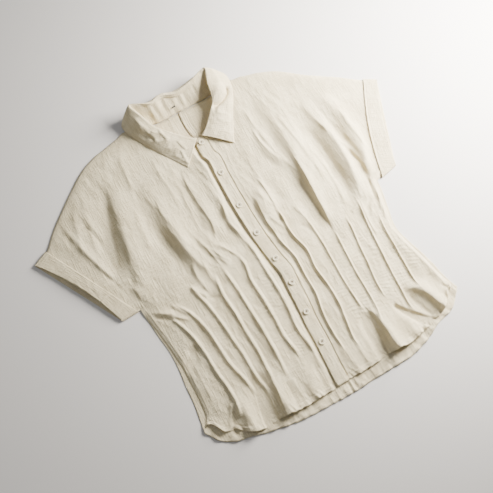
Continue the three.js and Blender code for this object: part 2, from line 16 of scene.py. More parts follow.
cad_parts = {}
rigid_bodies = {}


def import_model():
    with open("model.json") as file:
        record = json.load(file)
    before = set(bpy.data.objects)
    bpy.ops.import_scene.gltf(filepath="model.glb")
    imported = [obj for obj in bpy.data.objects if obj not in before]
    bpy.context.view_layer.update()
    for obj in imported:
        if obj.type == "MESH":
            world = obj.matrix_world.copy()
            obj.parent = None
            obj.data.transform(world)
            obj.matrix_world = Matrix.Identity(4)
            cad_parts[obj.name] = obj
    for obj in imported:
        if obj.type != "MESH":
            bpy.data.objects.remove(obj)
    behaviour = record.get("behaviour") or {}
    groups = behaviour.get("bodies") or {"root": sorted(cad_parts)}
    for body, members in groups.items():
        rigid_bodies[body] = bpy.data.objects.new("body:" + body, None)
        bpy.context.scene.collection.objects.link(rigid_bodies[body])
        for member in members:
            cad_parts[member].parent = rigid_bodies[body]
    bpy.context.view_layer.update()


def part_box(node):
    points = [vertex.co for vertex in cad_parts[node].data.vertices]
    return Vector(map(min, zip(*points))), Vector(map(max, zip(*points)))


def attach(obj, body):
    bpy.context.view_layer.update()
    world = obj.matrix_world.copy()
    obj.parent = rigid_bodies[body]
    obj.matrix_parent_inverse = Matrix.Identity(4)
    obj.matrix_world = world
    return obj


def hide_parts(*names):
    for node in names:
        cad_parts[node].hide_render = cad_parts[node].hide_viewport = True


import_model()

log = logging.getLogger("blouse")

Array = np.ndarray
Field = np.ndarray | float
Grid = tuple[np.ndarray, np.ndarray]
Pair = tuple[float, float]
Triple = tuple[float, float, float]
Colour = tuple[float, float, float, float]
Edge = tuple[Pair, Pair]
Material, Mesh, Obj = bpy.types.Material, bpy.types.Mesh, bpy.types.Object
Node, Socket, Tree = bpy.types.Node, bpy.types.NodeSocket, bpy.types.NodeTree

MM = 0.001
BODY = "root"
UV_NAME = "cloth"
# the name of the buttons' attribute that carries their painted shade
PAINTED_SHADE_NAME = "painted_well_shade"

# ---- the plan's driving sizes, in millimetres ----

FRONT_CLOTH = 1.4
BACK_CLOTH = 1.2
SEAM_GAP = 0.3
LEAST = BACK_CLOTH + SEAM_GAP + FRONT_CLOTH  # the lowest level of a front's upper face
BAND_WIDTH, BAND_WALL, BAND_TOP = 23.0, 1.6, 549.0
BAND_FLOOR = LEAST + SEAM_GAP + 0.1
BAND_CURL = ((300, 350), (500, 530))  # where the band's edge curls up off the right front
LOFT, EDGE_CLEAR, ROLL_POWER = 3.2, 0.4, 1.8
CUFF_WALL, CUFF_CLEAR = 1.2, 0.4
CUFF_LIFT = CUFF_WALL + SEAM_GAP
LEAF_CLEAR = 0.25
SKIN = 0.8  # the thickness of the cloth that shows
NECK_BACK_Y = 617.0
UNDERARM, SLEEVE, NECK = 330.0, 346.0, 545.0
SEAM_BEND = 4
TOP_POWER = 1.5  # how soon the rows are drawn to the shoulder's outline
HEM_TURN = 9.0  # width of the turned and stitched hem
HEM_DROP = 1.7  # how far the fronts' hem sags towards the back's cloth
BACK_TOP = 0.95  # the level on which the back's cloth carries the rest
BACK_LOWEST = -20.0
SLEEVE_END_X = -385.0

# The fine relief of the fronts: puckers stand between the waist's heights, beside the tucks' seams.
FINE_RISE, FINE_SINK, CRUMPLE_RISE = 1.3, 0.3, 0.42
PUCKER_PITCH, PUCKER_RISE = 7.5, 0.6
WAIST = ((60, 105), (225, 275))
BESIDE_BAND = ((-64, -56), (-32, -24))
BAND_SINK = 0.9  # how far the right front is pressed down under the curled part of the band
UNDER_BAND, OUT_OF_BAND = (2.5, 13), (0, 14)  # over which the right and left front leave the band's level
INTO_CUFF, OVER_UNDERARM = (-30, -8), (270, 300)

HEIGHTS = (0, 30, 60, 90, 130, 170, 210, 250, 290, UNDERARM, SLEEVE, 400, 460, 510, NECK)
SEAM_HEIGHTS = HEIGHTS[:10]

BAND_LINE_Y = (3, 40, 87, 130, 160, 200, 235, 265, 320, 400, 465, 497, 512, 549)
BAND_LINE_X = (-8.5, -6.5, -2.5, -0.5, 3, 6, 9, 4.5, -0.5, -1.5, 1, 3.5, -2, -0.5)
BAND_LIFT = (0.6, 0, 0.4, 0.2, 1.2, 1.8, 2.6, 1, 0.4, 0.4, 0.6, 1.4, 1.2, 2.2)
BUTTON_Y = (538, 465, 390, 326, 265, 210, 149, 87)

FRONT_HEM = (
    (-262, -252, -235, -215, -198, -175, -125, -100, -50, 0, 50, 100, 140, 165, 185, 205, 225, 245, 262),
    (57, 60, 35, 28, 13, 5, 4, 1, 1, 3, 4, 6, 4, 10, 14, 20, 28, 46, 62),
)
BACK_HEM = (
    (-268, -250, -225, -200, -175, -150, -115, -75, 0, 75, 124, 150, 170, 200, 232, 248, 269),
    (50, 25, 10, 5, -3, -8, -15, -18, -20, -18, -17, -11, -5, 10, 17, 28, 50),
)

# Where the fronts' hem lifts off the back: place along it, spread and height.
RUFFLES = (
    (163, 3, 3.5), (170, 2.6, -2), (177, 4, 3.6), (187, 3, 2.4), (208, 3.5, 3.2), (214, 2.6, -2),
    (222, 4, 4.2), (230, 3, 3), (243, 3.4, 4), (249, 2.4, -2), (256, 3.4, 3.4), (-214, 5, 3),
    (-205, 3, -1.5), (-257, 5, 2.5), (-196, 4, 2), (118, 3, 1.6), (128, 3, -1.2), (-60, 4, 1.5),
    (-84, 4, 1.2),
)

# The washed cloth's crumples: turn in degrees, width, length and share.
CRUMPLES = ((-14, 15, 48, 0.5), (11, 11, 36, 0.35), (-38, 9, 30, 0.3))
CRUMPLE_SEED = 5


# ---- small tools ----


def smooth(value: Field, low: float, high: float) -> Array:
    """A smooth step, from 0 at the low value to 1 at the high one."""
    t = np.clip((np.asarray(value, float) - low) / (high - low), 0, 1)
    return t * t * (3 - 2 * t)


def between(value: Field, opens: Pair, closes: Pair) -> Array:
    """A smooth window, which opens over one pair of values and closes over another."""
    return smooth(value, *opens) * (1 - smooth(value, *closes))


def bell(offset: Field, width: float) -> Array:
    """A soft bump, 1 high where the offset is 0."""
    return np.exp(-((offset / width) ** 2))


def lerp(a: Field, b: Field, t: Field) -> Array:
    """The value at a share t of the way from a to b."""
    return a + (b - a) * t


def join(*parts: Field) -> Array:
    """Joins coordinates into points."""
    return np.stack(parts, axis=-1)


def along(places: tuple, values: tuple, at: Field) -> Array:
    """A smooth value through a table of measured values.

    Args:
        places: Where the values were measured, rising.
        values: The measured values.
        at: Where a value is wanted.

    Returns:
        The values there, with each slope taken from its neighbours.
    """
    p, v, at = np.asarray(places, float), np.asarray(values, float), np.asarray(at, float)
    last = len(p) - 1
    after, before = np.minimum(np.arange(last + 1) + 1, last), np.maximum(np.arange(last + 1) - 1, 0)
    slope = (v[after] - v[before]) / (p[after] - p[before])
    i = np.clip(np.searchsorted(p, at, side="right") - 1, 0, last - 1)
    span = p[i + 1] - p[i]
    t = np.clip((at - p[i]) / span, 0, 1)
    t2, t3 = t * t, t * t * t
    start = (2 * t3 - 3 * t2 + 1) * v[i] + (t3 - 2 * t2 + t) * slope[i] * span
    return start + (3 * t2 - 2 * t3) * v[i + 1] + (t3 - t2) * slope[i + 1] * span


def smooth_run(points: tuple | Array, steps: int) -> Array:
    """A smooth line through points, each as far from the next in steps.

    Args:
        points: The points that the line goes through, with any number of columns.
        steps: The steps between two of them.

    Returns:
        The line's points, one row each.
    """
    pts = np.asarray(points, float)
    places = tuple(range(len(pts)))
    at = np.linspace(0, len(pts) - 1, steps * (len(pts) - 1) + 1)
    return join(*(along(places, pts[:, k], at) for k in range(pts.shape[1])))


def nearest(run: Array, x: Array, y: Array) -> tuple[Array, Array, Array]:
    """Measures from places to a run of points.

    Args:
        run: The run's points, one row each.
        x: The places' x.
        y: The places' y.

    Returns:
        The least distance, the share of the run where it is, and which side of the run it is on.
    """
    gap = np.full(x.shape, np.inf)
    share, turn = np.zeros(x.shape), np.ones(x.shape)
    for k in range(len(run) - 1):
        (ax, ay), (dx, dy) = run[k], run[k + 1] - run[k]
        t = np.clip(((x - ax) * dx + (y - ay) * dy) / (dx * dx + dy * dy), 0, 1)
        here = np.hypot(x - ax - t * dx, y - ay - t * dy)
        closer = here < gap
        gap = np.where(closer, here, gap)
        share = np.where(closer, (k + t) / (len(run) - 1), share)
        turn = np.where(closer, dx * (y - ay) - dy * (x - ax), turn)
    return gap, share, turn


def value_noise(x: Array, y: Array, cell: Pair, seed: int) -> Array:
    """Soft random lumps over the plan.

    Args:
        x: The places' x.
        y: The places' y.
        cell: The lumps' width and length.
        seed: The seed of their heights.

    Returns:
        Heights between -1 and 1.
    """
    size, start = 128, (57.3, 41.7)
    lattice = np.random.default_rng(seed).uniform(-1, 1, (size, size))
    gx, gy = x / cell[0] + start[0], y / cell[1] + start[1]
    ix, iy = np.floor(gx).astype(int), np.floor(gy).astype(int)
    fx, fy = smooth(gx - ix, 0, 1), smooth(gy - iy, 0, 1)
    low = lerp(lattice[ix % size, iy % size], lattice[(ix + 1) % size, iy % size], fx)
    high = lerp(lattice[ix % size, (iy + 1) % size], lattice[(ix + 1) % size, (iy + 1) % size], fx)
    return lerp(low, high, fy)


class Lumps(Enum):
    """The cloth's random lumps: their height, the width and length of one, and their seed."""

    FRONT = (0.8, (26, 60), 3)
    FRONT_FINE = (0.12, (5, 9), 7)
    PUCKER_DRIFT = (5.0, (22, 24), 11)
    PUCKER_PATCHES = (0.5, (14, 18), 13)
    TUCKS = (1.0, (17, 5), 21)
    HEM_RIPPLE = (0.9, (4.5, 40), 31)
    HEM_EDGE = (1.5, (6, 9), 33)
    BACK_NECK = (0.35, (18, 30), 41)
    BACK_HEM_WAVES = (1.3, (8, 50), 43)
    BACK_HEM = (1.1, (5, 16), 44)
    BACK_CRIMP = (1.0, (3.6, 14), 45)
    BACK_EDGE = (1.0, (6, 9), 46)
    CUFF_RIGHT = (0.5, (14, 16), 50)
    CUFF_LEFT = (0.5, (14, 16), 52)
    CUFF_FINE = (0.22, (5, 7), 53)
    BAND = (0.22, (7, 16), 61)
    BAND_FINE = (0.12, (3, 6), 63)
    BAND_DRIFT = (4, (30, 22), 65)
    BAND_PATCHES = (0.5, (40, 14), 67)
    LEAF = (0.7, (16, 16), 71)
    LEAF_FINE = (0.4, (6, 7), 73)
    STAND = (0.9, (10, 9), 81)
    STAND_FINE = (0.5, (5, 30), 83)
    STAND_DRIFT = (1.0, (24, 60), 85)

    def at(self, x: Array, y: Array) -> Array:
        """The lumps' height at places over the plan."""
        height, cell, seed = self.value
        return height * value_noise(x, y, cell, seed)


def crumple(x: Array, y: Array) -> Array:
    """The fine crumples of washed cloth: thin ridges that mostly run down the blouse.

    Args:
        x: The places' x.
        y: The places' y.

    Returns:
        Heights between about -1 and 1.
    """
    sharp = 2.6
    total = np.zeros(x.shape)
    for k, (turn, wide, long, share) in enumerate(CRUMPLES):
        c, s = math.cos(math.radians(turn)), math.sin(math.radians(turn))
        lumps = value_noise(c * x - s * y, s * x + c * y, (wide, long), CRUMPLE_SEED + k)
        total += share * (1 - sharp * np.abs(lumps))
    return total


def puckers(x: Array, y: Array, lean: float, drift: Lumps, patches: Lumps) -> Array:
    """The even puckers beside a seam, which drift and come and go.

    Args:
        x: The places' x.
        y: The places' y.
        lean: How much the puckers slant.
        drift: What shifts them.
        patches: Where they are strong.

    Returns:
        Heights between -1 and 1.
    """
    slant = y + lean * x + drift.at(x, y)
    return np.sin(slant * 2 * np.pi / PUCKER_PITCH) * (0.5 + patches.at(x, y))


def plan_shift() -> Array:
    """The shift from the plan to the frame, in millimetres."""
    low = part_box("back")[0]
    return np.array([low[0] / MM - SLEEVE_END_X, low[1] / MM - BACK_LOWEST, 0.0])


SHIFT = plan_shift()


def to_frame(points: Array) -> Array:
    """Takes plan points in millimetres to the frame, in metres."""
    return (np.asarray(points, float) + SHIFT) * MM


# ---- creases ----

FADE = 0.22  # the share of a crease over which it begins, and over which it ends


@dataclass(frozen=True)
class Crease:
    """A soft ridge, or a trough where its rise is negative, along a line over the plan."""

    points: tuple[Pair, ...]
    rise: float
    left: float
    right: float
    head: float = FADE
    tail: float = FADE
    peak: float = 1.35  # 2 is a soft swell, and less is a sharper crease

    def run(self) -> Array:
        """The crease's line.

        Returns:
            Its points, one row each.
        """
        if len(self.points) != 3:
            return smooth_run(self.points, 4)
        start, via, end = (np.asarray(p, float) for p in self.points)
        pull = 2 * via - (start + end) / 2
        t = np.linspace(0, 1, 15)[:, None]
        return (1 - t) ** 2 * start + 2 * t * (1 - t) * pull + t**2 * end

    def add(self, x: Array, y: Array, rise: Array) -> None:
        """Adds the crease to a field of heights.

        Args:
            x: The places' x.
            y: The places' y.
            rise: The heights, which are changed.
        """
        run = self.run()
        reach = 3 * max(self.left, self.right)
        low, high = run.min(axis=0) - reach, run.max(axis=0) + reach
        near = (x > low[0]) & (x < high[0]) & (y > low[1]) & (y < high[1])
        if not near.any():
            return
        gap, share, turn = nearest(run, x[near], y[near])
        spread = np.where(turn < 0, self.left, self.right)
        fade = np.ones(gap.shape)
        if self.head > 0:
            fade = fade * smooth(share, 0, self.head)
        if self.tail > 0:
            fade = fade * smooth(1 - share, 0, self.tail)
        rise[near] += self.rise * fade * np.exp(-((gap / spread) ** self.peak))


def fold(
    start: Pair, via: Pair, end: Pair, rise: float, left: float, right: float, head: float = 0.5
) -> Crease:
    """A main fold: a soft swell, which keeps its height where it meets the hem."""
    return Crease((start, via, end), rise, left, right, head, 0.0 if end[1] < 60 else 0.4, 2.0)


def add_all(creases: tuple[Crease, ...], x: Array, y: Array) -> Array:
    """The height that creases add.

    Args:
        creases: The creases.
        x: The places' x.
        y: The places' y.

    Returns:
        The height at each place.
    """
    rise = np.zeros(x.shape)
    for crease in creases:
        crease.add(x, y, rise)
    return rise


# The main folds, where the solids have them: three points, rise, and spread towards -X and +X.
MAIN_FOLDS = tuple(fold(*row) for row in (
    ((-192, 590), (-216, 450), (-243, 285), 8, 15, 28),
    ((-212, 560), (-250, 450), (-270, 350), -2.6, 16, 14),
    ((-140, 540), (-136, 400), (-117, 280), 7.2, 13, 24),
    ((-168, 470), (-158, 390), (-148, 290), -2.4, 14, 10),
    ((-60, 510), (-63, 440), (-60, 340), 2.8, 10, 14),
    ((-30, 500), (-33, 400), (-24, 300), 3.2, 8, 7),
    ((-92, 400), (-84, 350), (-60, 300), 3, 12, 9),
    ((-312, 510), (-298, 440), (-275, 370), 3.0, 10, 14),
    ((-262, 290), (-225, 275), (-190, 240), 2.0, 8, 8, 0.2),
    ((-205, 205), (-225, 175), (-246, 150), -3.4, 11, 13),
    ((-244, 75), (-247, 50), (-247, 15), 7, 15, 13, 0.9),
    ((-186, 110), (-186, 60), (-188, 5), 8, 14, 12, 0.8),
    ((-205, 80), (-212, 50), (-222, 20), -3.6, 7, 7, 0.6),
    ((-145, 110), (-150, 60), (-154, -5), -6.5, 13, 14, 0.8),
    ((-118, 120), (-116, 60), (-113, -10), 8, 9, 20, 0.9),
    ((-124, 80), (-124, 40), (-122, -10), 5, 20, 8, 0.9),
    ((-62, 100), (-60, 50), (-60, -10), 4, 12, 14, 0.8),
    ((141, 590), (143, 440), (133, 262), 8.4, 14, 28),
    ((120, 440), (116, 350), (120, 225), -3.4, 18, 10, 0.6),
    ((216, 540), (223, 400), (206, 250), 10, 21, 11),
    ((186, 500), (188, 380), (178, 258), -3.4, 12, 14),
    ((240, 545), (260, 400), (243, 240), 10, 13, 15, 0.4),
    ((50, 420), (40, 360), (46, 290), 3.6, 11, 12),
    ((88, 510), (100, 450), (124, 400), 3, 7, 8),
    ((86, 125), (88, 60), (86, -5), -5, 15, 9, 0.8),
    ((110, 120), (112, 60), (112, -10), 10, 8, 27, 0.9),
    ((108, 80), (110, 40), (110, -10), 6, 25, 10, 0.9),
    ((150, 90), (152, 40), (160, -5), 5, 12, 13, 0.8),
    ((146, 84), (165, 45), (194, 15), -7, 7, 8, 0.4),
    ((178, 98), (208, 78), (226, 25), 9, 10, 12, 0.5),
    ((250, 130), (256, 90), (258, 55), 7, 12, 9, 0.8),
))

# Finer creases over the fronts: line, rise, spread towards -X and spread towards +X.
FINE_CREASES = tuple(Crease(*row) for row in (
    # wearer's right, from the neck down
    (((-62, 515), (-69, 470), (-68, 420), (-66, 380), (-78, 345)), 1.5, 2.0, 7),
    (((-38, 505), (-31, 480), (-25, 455)), 1.2, 3, 5),
    (((-30, 430), (-32, 400), (-38, 375)), 1.4, 3, 5),
    (((-27, 532), (-23, 505), (-20, 480), (-19, 445), (-20, 405)), 2.6, 8, 2.5),
    (((-38, 375), (-33, 345), (-27, 315)), 1.8, 4, 3),
    (((-78, 342), (-68, 328), (-54, 303)), 2.2, 2.5, 5),
    (((-88, 330), (-80, 316), (-70, 300)), 1.2, 3, 4),
    (((-136, 335), (-140, 315), (-139, 292), (-133, 262)), 2.2, 2.5, 5),
    (((-116, 332), (-118, 300), (-117, 265)), 1.5, 4, 5),
    (((-145, 264), (-134, 258), (-122, 250)), -1.2, 3, 3),
    (((-162, 297), (-152, 278), (-140, 262)), 2.0, 3, 5),
    (((-108, 372), (-100, 350), (-88, 330), (-78, 305)), 1.5, 3.5, 4),
    (((-205, 560), (-225, 500), (-245, 450), (-258, 410), (-270, 375)), -2.2, 9, 9),
    (((-165, 430), (-160, 400), (-155, 370), (-150, 340)), -1.8, 7, 7),
    (((-145, 432), (-135, 372), (-128, 340), (-117, 300)), 1.8, 5, 9),
    (((-180, 480), (-186, 430), (-188, 390)), 1.3, 6, 9),
    (((-100, 560), (-104, 520), (-101, 470), (-104, 430)), 1.1, 4, 8),
    (((-152, 600), (-160, 555), (-162, 510)), 1.2, 5, 8),
    (((-84, 470), (-88, 430), (-90, 395)), 0.9, 4, 6),
    (((-280, 545), (-290, 510), (-300, 470), (-304, 440)), 1.3, 5, 9),
    (((-272, 510), (-270, 480), (-258, 430)), -1.4, 6, 6),
    (((-330, 505), (-322, 470), (-312, 430), (-300, 395)), 1.2, 5, 7),
    (((-248, 560), (-262, 520), (-274, 470), (-280, 430)), 1.0, 5, 8),
    (((-290, 402), (-282, 380), (-272, 350), (-262, 325)), -1.6, 5, 5),
    (((-252, 352), (-250, 330), (-252, 305)), 1.6, 5, 6),
    (((-315, 527), (-303, 467), (-291, 422), (-275, 372)), 1.9, 1.8, 7, 0.1, 0.1),
    (((-274, 538), (-265, 479), (-256, 436)), 1.5, 1.8, 6),
    (((-227, 472), (-226, 426), (-239, 381)), 1.5, 2.5, 9),
    (((-339, 514), (-346, 480)), 1.4, 3, 5),
    (((-290, 371), (-262, 364), (-248, 363)), 1.2, 2, 3, 0.1),
    (((-132, 488), (-139, 450), (-133, 406), (-125, 351)), 1.5, 2.5, 9),
    (((-107, 375), (-98, 344), (-91, 296)), 1.3, 1.6, 3),
    (((-105, 348), (-90, 321), (-75, 295)), 1.1, 1.4, 3),
    (((-22, 425), (-34, 390), (-36, 363), (-22, 319)), 1.8, 2, 4),
    (((-209, 284), (-199, 267), (-189, 250)), 1.4, 1.6, 3),
    # wearer's right side, under the arm
    (((-262, 298), (-246, 288), (-226, 273), (-205, 261)), 2.0, 2.6, 4, 0.1),
    (((-258, 286), (-242, 274), (-225, 262), (-208, 252)), -1.3, 3, 3, 0.1),
    (((-252, 281), (-244, 271), (-235, 262)), 1.2, 2.5, 2.5, 0.1),
    (((-220, 265), (-206, 254), (-190, 240)), 1.6, 2.5, 3.5),
    (((-256, 254), (-248, 250), (-240, 244)), 1.0, 2.5, 2.5, 0.1),
    (((-252, 235), (-246, 240), (-238, 249)), -0.8, 2.5, 2.5, 0.1),
    (((-250, 150), (-232, 168), (-216, 184), (-205, 198)), -2.0, 8, 8),
    (((-230, 210), (-226, 170), (-227, 120), (-230, 80)), 0.8, 2.5, 4),
    # wearer's right hem
    (((-200, 76), (-208, 62), (-217, 46), (-226, 28)), 2.6, 3, 6),
    (((-192, 70), (-196, 55), (-199, 40)), 1.8, 4, 4),
    (((-156, 72), (-160, 50), (-168, 22), (-171, 0)), 2.2, 5, 2.5, FADE, 0),
    (((-143, 100), (-150, 66), (-156, 32), (-158, -4)), -3.0, 9, 9, FADE, 0),
    (((-118, 76), (-119, 50), (-124, 20), (-127, -4)), 2.4, 2.4, 7, FADE, 0),
    (((-98, 60), (-99, 35), (-100, 5)), -1.5, 5, 5, FADE, 0),
    (((-85, 60), (-84, 34), (-82, 0)), 1.5, 5, 7, FADE, 0),
    (((-38, 62), (-40, 32), (-42, 0)), -1.2, 6, 6, FADE, 0),
    (((-27, 80), (-25, 50), (-23, 18)), 1.4, 3, 4, FADE, 0),
    # wearer's left, from the neck down
    (((97, 522), (97, 482), (105, 450), (125, 398)), 2.0, 2.5, 6),
    (((103, 562), (105, 512), (113, 463)), 1.5, 3, 6),
    (((137, 402), (134, 360), (132, 320), (127, 250)), 2.6, 2.2, 9),
    (((121, 385), (120, 340), (121, 290), (125, 255)), -2.6, 7, 4),
    (((190, 482), (193, 420), (196, 370), (197, 335), (184, 262)), -2.4, 9, 9),
    (((225, 412), (240, 362), (243, 340), (237, 308), (223, 248)), -2.6, 5, 5),
    (((214, 470), (222, 420), (222, 372), (214, 320), (205, 280)), 2.0, 6, 8),
    (((235, 520), (239, 455), (249, 402), (252, 352)), 1.8, 4, 8),
    (((262, 505), (266, 470), (268, 430), (270, 395)), 1.2, 5, 7),
    (((165, 560), (170, 520), (168, 470), (162, 420)), 1.0, 5, 8),
    (((60, 470), (58, 440), (60, 410)), 1.0, 4, 5),
    (((25, 395), (15, 352), (16, 325), (26, 300)), -2.6, 6, 6),
    (((32, 400), (27, 350), (27, 322), (36, 262)), 2.2, 2.6, 6),
    (((54, 422), (57, 385), (55, 340)), 2.0, 2.5, 5),
    (((40, 400), (46, 375), (56, 350)), 1.1, 3, 4),
    (((60, 342), (56, 330), (58, 318)), 1.6, 2.2, 4),
    (((36, 345), (42, 325), (55, 302)), 1.2, 3, 4),
    (((85, 342), (92, 312), (98, 272)), 1.8, 3.5, 6),
    (((78, 300), (84, 290), (92, 270)), -1.2, 3, 3),
    (((216, 268), (210, 256), (203, 244)), 1.2, 3, 3),
    (((196, 262), (210, 268), (222, 282)), -1.4, 3, 3),
    (((248, 300), (241, 284), (232, 262), (226, 242)), 2.4, 3, 5),
    (((274, 346), (262, 334), (250, 326)), 2.2, 2.2, 3),
    (((276, 332), (266, 322), (256, 316)), -1.8, 3, 2),
    (((270, 318), (262, 306), (256, 290)), 2.0, 2.2, 3),
    (((262, 470), (262, 430), (266, 390), (268, 352)), 2.4, 2.4, 8),
    (((205, 520), (212, 470), (222, 430)), 2.0, 2.2, 8),
    (((152, 520), (158, 460), (164, 400), (166, 350)), 1.5, 2, 8),
    (((176, 420), (180, 370), (178, 320), (172, 285)), 1.6, 2, 6),
    (((101, 508), (114, 446), (131, 384)), 1.8, 1.8, 6),
    (((136, 453), (135, 382), (131, 332), (129, 255)), 2.2, 2, 8),
    (((225, 411), (240, 383), (246, 342), (243, 322)), 2.2, 2.2, 6),
    (((243, 324), (239, 288), (231, 246), (222, 228)), 2.6, 2.6, 6),
    (((202, 286), (194, 245), (194, 203)), 1.6, 2, 4),
    (((174, 270), (188, 277), (202, 286)), 1.2, 2, 2),
    # wearer's left hem
    (((99, 104), (106, 80), (108, 48), (106, 24), (112, 2)), 3.0, 2.6, 8, FADE, 0),
    (((90, 96), (89, 62), (88, 28), (86, -4)), -4.2, 9, 5, FADE, 0),
    (((70, 90), (69, 50), (68, 4)), 1.4, 6, 5, FADE, 0),
    (((145, 80), (152, 65), (167, 45), (194, 16)), -3.2, 3, 4, 0.1, 0),
    (((150, 84), (160, 66), (176, 48), (200, 22)), 2.0, 3, 4, 0.15, 0),
    (((180, 88), (184, 66), (190, 50), (198, 28)), -3.0, 6, 5, 0.2, 0),
    (((177, 96), (196, 84), (210, 66), (218, 44), (226, 26)), 2.2, 3, 7, 0.15, 0),
    (((228, 190), (232, 140), (236, 100), (240, 66)), -1.8, 10, 10),
    (((246, 66), (250, 60), (256, 58)), -3.0, 3, 3, 0, 0),
    (((25, 62), (26, 36), (28, 2)), 1.3, 6, 8, FADE, 0),
    (((52, 60), (50, 34), (52, 2)), 1.2, 5, 6, FADE, 0),
))

# Creases over the turned-down collar.
COLLAR_CREASES = tuple(Crease(*row) for row in (
    (((97, 616), (90, 602), (77, 593), (62, 589), (50, 590)), -7.5, 2.2, 5.5, 0.1, 0.1),
    (((92, 628), (78, 612), (66, 604), (54, 602)), 1.6, 8, 6),
    (((-95, 626), (-87, 604), (-73, 584)), 1.8, 1.8, 4),
    (((-91, 617), (-84, 594), (-79, 579)), -1.6, 3, 2),
    (((-64, 598), (-61, 582), (-58, 568)), 1.4, 1.8, 4),
    (((-43, 564), (-39, 547), (-35, 535)), 1.2, 1.8, 4),
    (((-45, 542), (-46, 528), (-46, 511)), 1.2, 1.5, 3.5),
    (((51, 577), (61, 567), (74, 563)), 1.2, 2.5, 2.5),
    (((47, 566), (55, 553), (66, 549)), 1.0, 2.5, 2.5),
    (((-92, 640), (-90, 622), (-80, 604)), 1.6, 4, 5),
    (((-100, 628), (-97, 608), (-88, 590)), -1.2, 5, 5),
    (((-80, 600), (-70, 592), (-58, 588)), 1.5, 3, 4),
    (((-84, 586), (-70, 574), (-52, 570)), 1.2, 3, 4),
    (((-72, 566), (-60, 552), (-40, 548)), 0.9, 4, 4),
    (((-64, 545), (-54, 532), (-40, 526)), 0.8, 3, 3),
    (((-54, 528), (-48, 518), (-44, 509)), 1.0, 3, 3),
    (((50, 560), (62, 556), (76, 562)), 0.8, 4, 4),
    (((42, 572), (54, 574), (66, 584)), 1.0, 4, 4),
    (((40, 540), (52, 530), (60, 520)), 0.7, 4, 4),
    (((86, 586), (78, 574), (72, 562)), 0.9, 3, 5),
    (((84, 660), (88, 640), (84, 622)), 1.4, 6, 5),
))


# ---- the two halves of the plan ----


@dataclass(frozen=True)
class Line:
    """A lengthwise line of a front, with its tuck's lower end, upper end and height."""

    x: tuple[float, ...]
    end: Pair
    low: float
    high: float
    rise: float

    def at(self, height: Field) -> Array:
        """The line's x at heights up the blouse."""
        return along(HEIGHTS, (*self.x, self.end[0]), height)


RIGHT_LINES = tuple(Line(*row) for row in (
    ((-38, -34, -28, -29, -33, -28, -26, -27, -27, -31, -32, -32, -33, -30),
     (-33, 549), 77, 315, 3.2),
    ((-64, -60, -56, -56, -61, -59, -59, -60, -55, -68, -72, -67, -69, -64),
     (-64, 573), 88, 300, 3.4),
    ((-97, -96, -94, -91, -89, -89, -90, -91, -94, -98, -98, -97, -94, -91),
     (-84, 622), 74, 290, 3.4),
    ((-122, -121, -120, -118, -116, -117, -117, -119, -116, -122, -124, -130, -130, -132),
     (-135, 630), 72, 285, 3.4),
    ((-136, -136, -138, -142, -142, -145, -148, -153, -162, -163, -162, -160, -165, -170),
     (-176, 621), 60, 290, 3.2),
    ((-178, -170, -160, -162, -171, -174, -177, -187, -206, -212, -210, -205, -212, -220),
     (-230, 602), 72, 270, 3.4),
    ((-208, -202, -196, -196, -200, -201, -205, -217, -232, -238, -241, -262, -275, -288),
     (-306, 545), 55, 258, 3.4),
))
LEFT_LINES = tuple(Line(*row) for row in (
    ((24, 24, 25, 24, 27, 35, 36, 38, 30, 28, 28, 27, 27, 30),
     (36, 551), 60, 300, 3.6),
    ((53, 54, 51, 55, 62, 63, 60, 64, 56, 57, 56, 55, 60, 66),
     (66, 573), 55, 338, 3.8),
    ((84, 86, 90, 94, 93, 93, 95, 97, 96, 93, 93, 95, 100, 104),
     (82, 620), 105, 290, 2.2),
    ((105, 104, 110, 117, 120, 121, 124, 128, 130, 134, 136, 140, 141, 140),
     (140, 623), 72, 250, 2.4),
    ((150, 148, 145, 142, 143, 149, 154, 160, 163, 166, 167, 170, 173, 175),
     (178, 611), 108, 262, 2.6),
    ((183, 178, 173, 175, 178, 182, 186, 191, 198, 203, 205, 212, 218, 222),
     (228, 580), 60, 275, 3.0),
    ((222, 215, 208, 206, 208, 210, 212, 218, 226, 230, 233, 246, 258, 270),
     (290, 535), 88, 232, 2.8),
))


class TuckForm(Enum):
    """Across a tuck: how far each column stands back from its outer edge, towards the buttons, and
    its share of the tuck's height. A pipe is rounded on both sides; a flap rises to a sharp edge."""

    PIPE = (
        (9.4, 0.0), (7.8, 0.14), (6.5, 0.5), (5.2, 0.88), (3.8, 1.0), (2.4, 0.96), (1.2, 0.7),
        (0.1, 0.38), (-1.2, 0.2), (-3.2, 0.08), (-5.6, 0.02), (-8.2, 0.0),
    )
    FLAP = (
        (8.4, 0.0), (6.6, -0.1), (5.2, 0.12), (3.8, 0.42), (2.4, 0.74), (1.3, 0.97), (0.5, 1.05),
        (-0.1, 0.86), (-0.6, 0.42), (-1.2, 0.12), (-2.4, 0.02), (-4.0, 0.0),
    )


@dataclass(frozen=True)
class CuffPlan:
    """A cuff's two edges, the sleeve's end in it and the line where the sleeve goes in."""

    name: str
    outer: Edge
    inner: Edge
    sleeve: Edge
    line: Edge
    end: float  # the upper layer's height at its ends
    bulge: float
    draw: float  # how far the upper layer is drawn in at its middle
    lumps: Lumps
    tuck_in: float
    bend: float = 0.0

    def bent(self, share: Field, depth: Field) -> Array:
        """The shift along x of the upper layer at shares of its length and depth, where it bends."""
        return self.bend * np.sin(np.pi * np.asarray(share, float)) * lerp(0.4, 1.0, depth)

    def top(self, share: Field) -> Array:
        """The upper layer's height at shares of the way from the shoulder to the underarm."""
        return self.end + self.bulge * np.sin(np.pi * np.asarray(share, float))


def on_edge(edge: Edge, share: Field) -> Grid:
    """The x and y of a place at a share of the way between the two ends of a straight edge."""
    (ax, ay), (bx, by) = edge
    return lerp(ax, bx, share), lerp(ay, by, share)


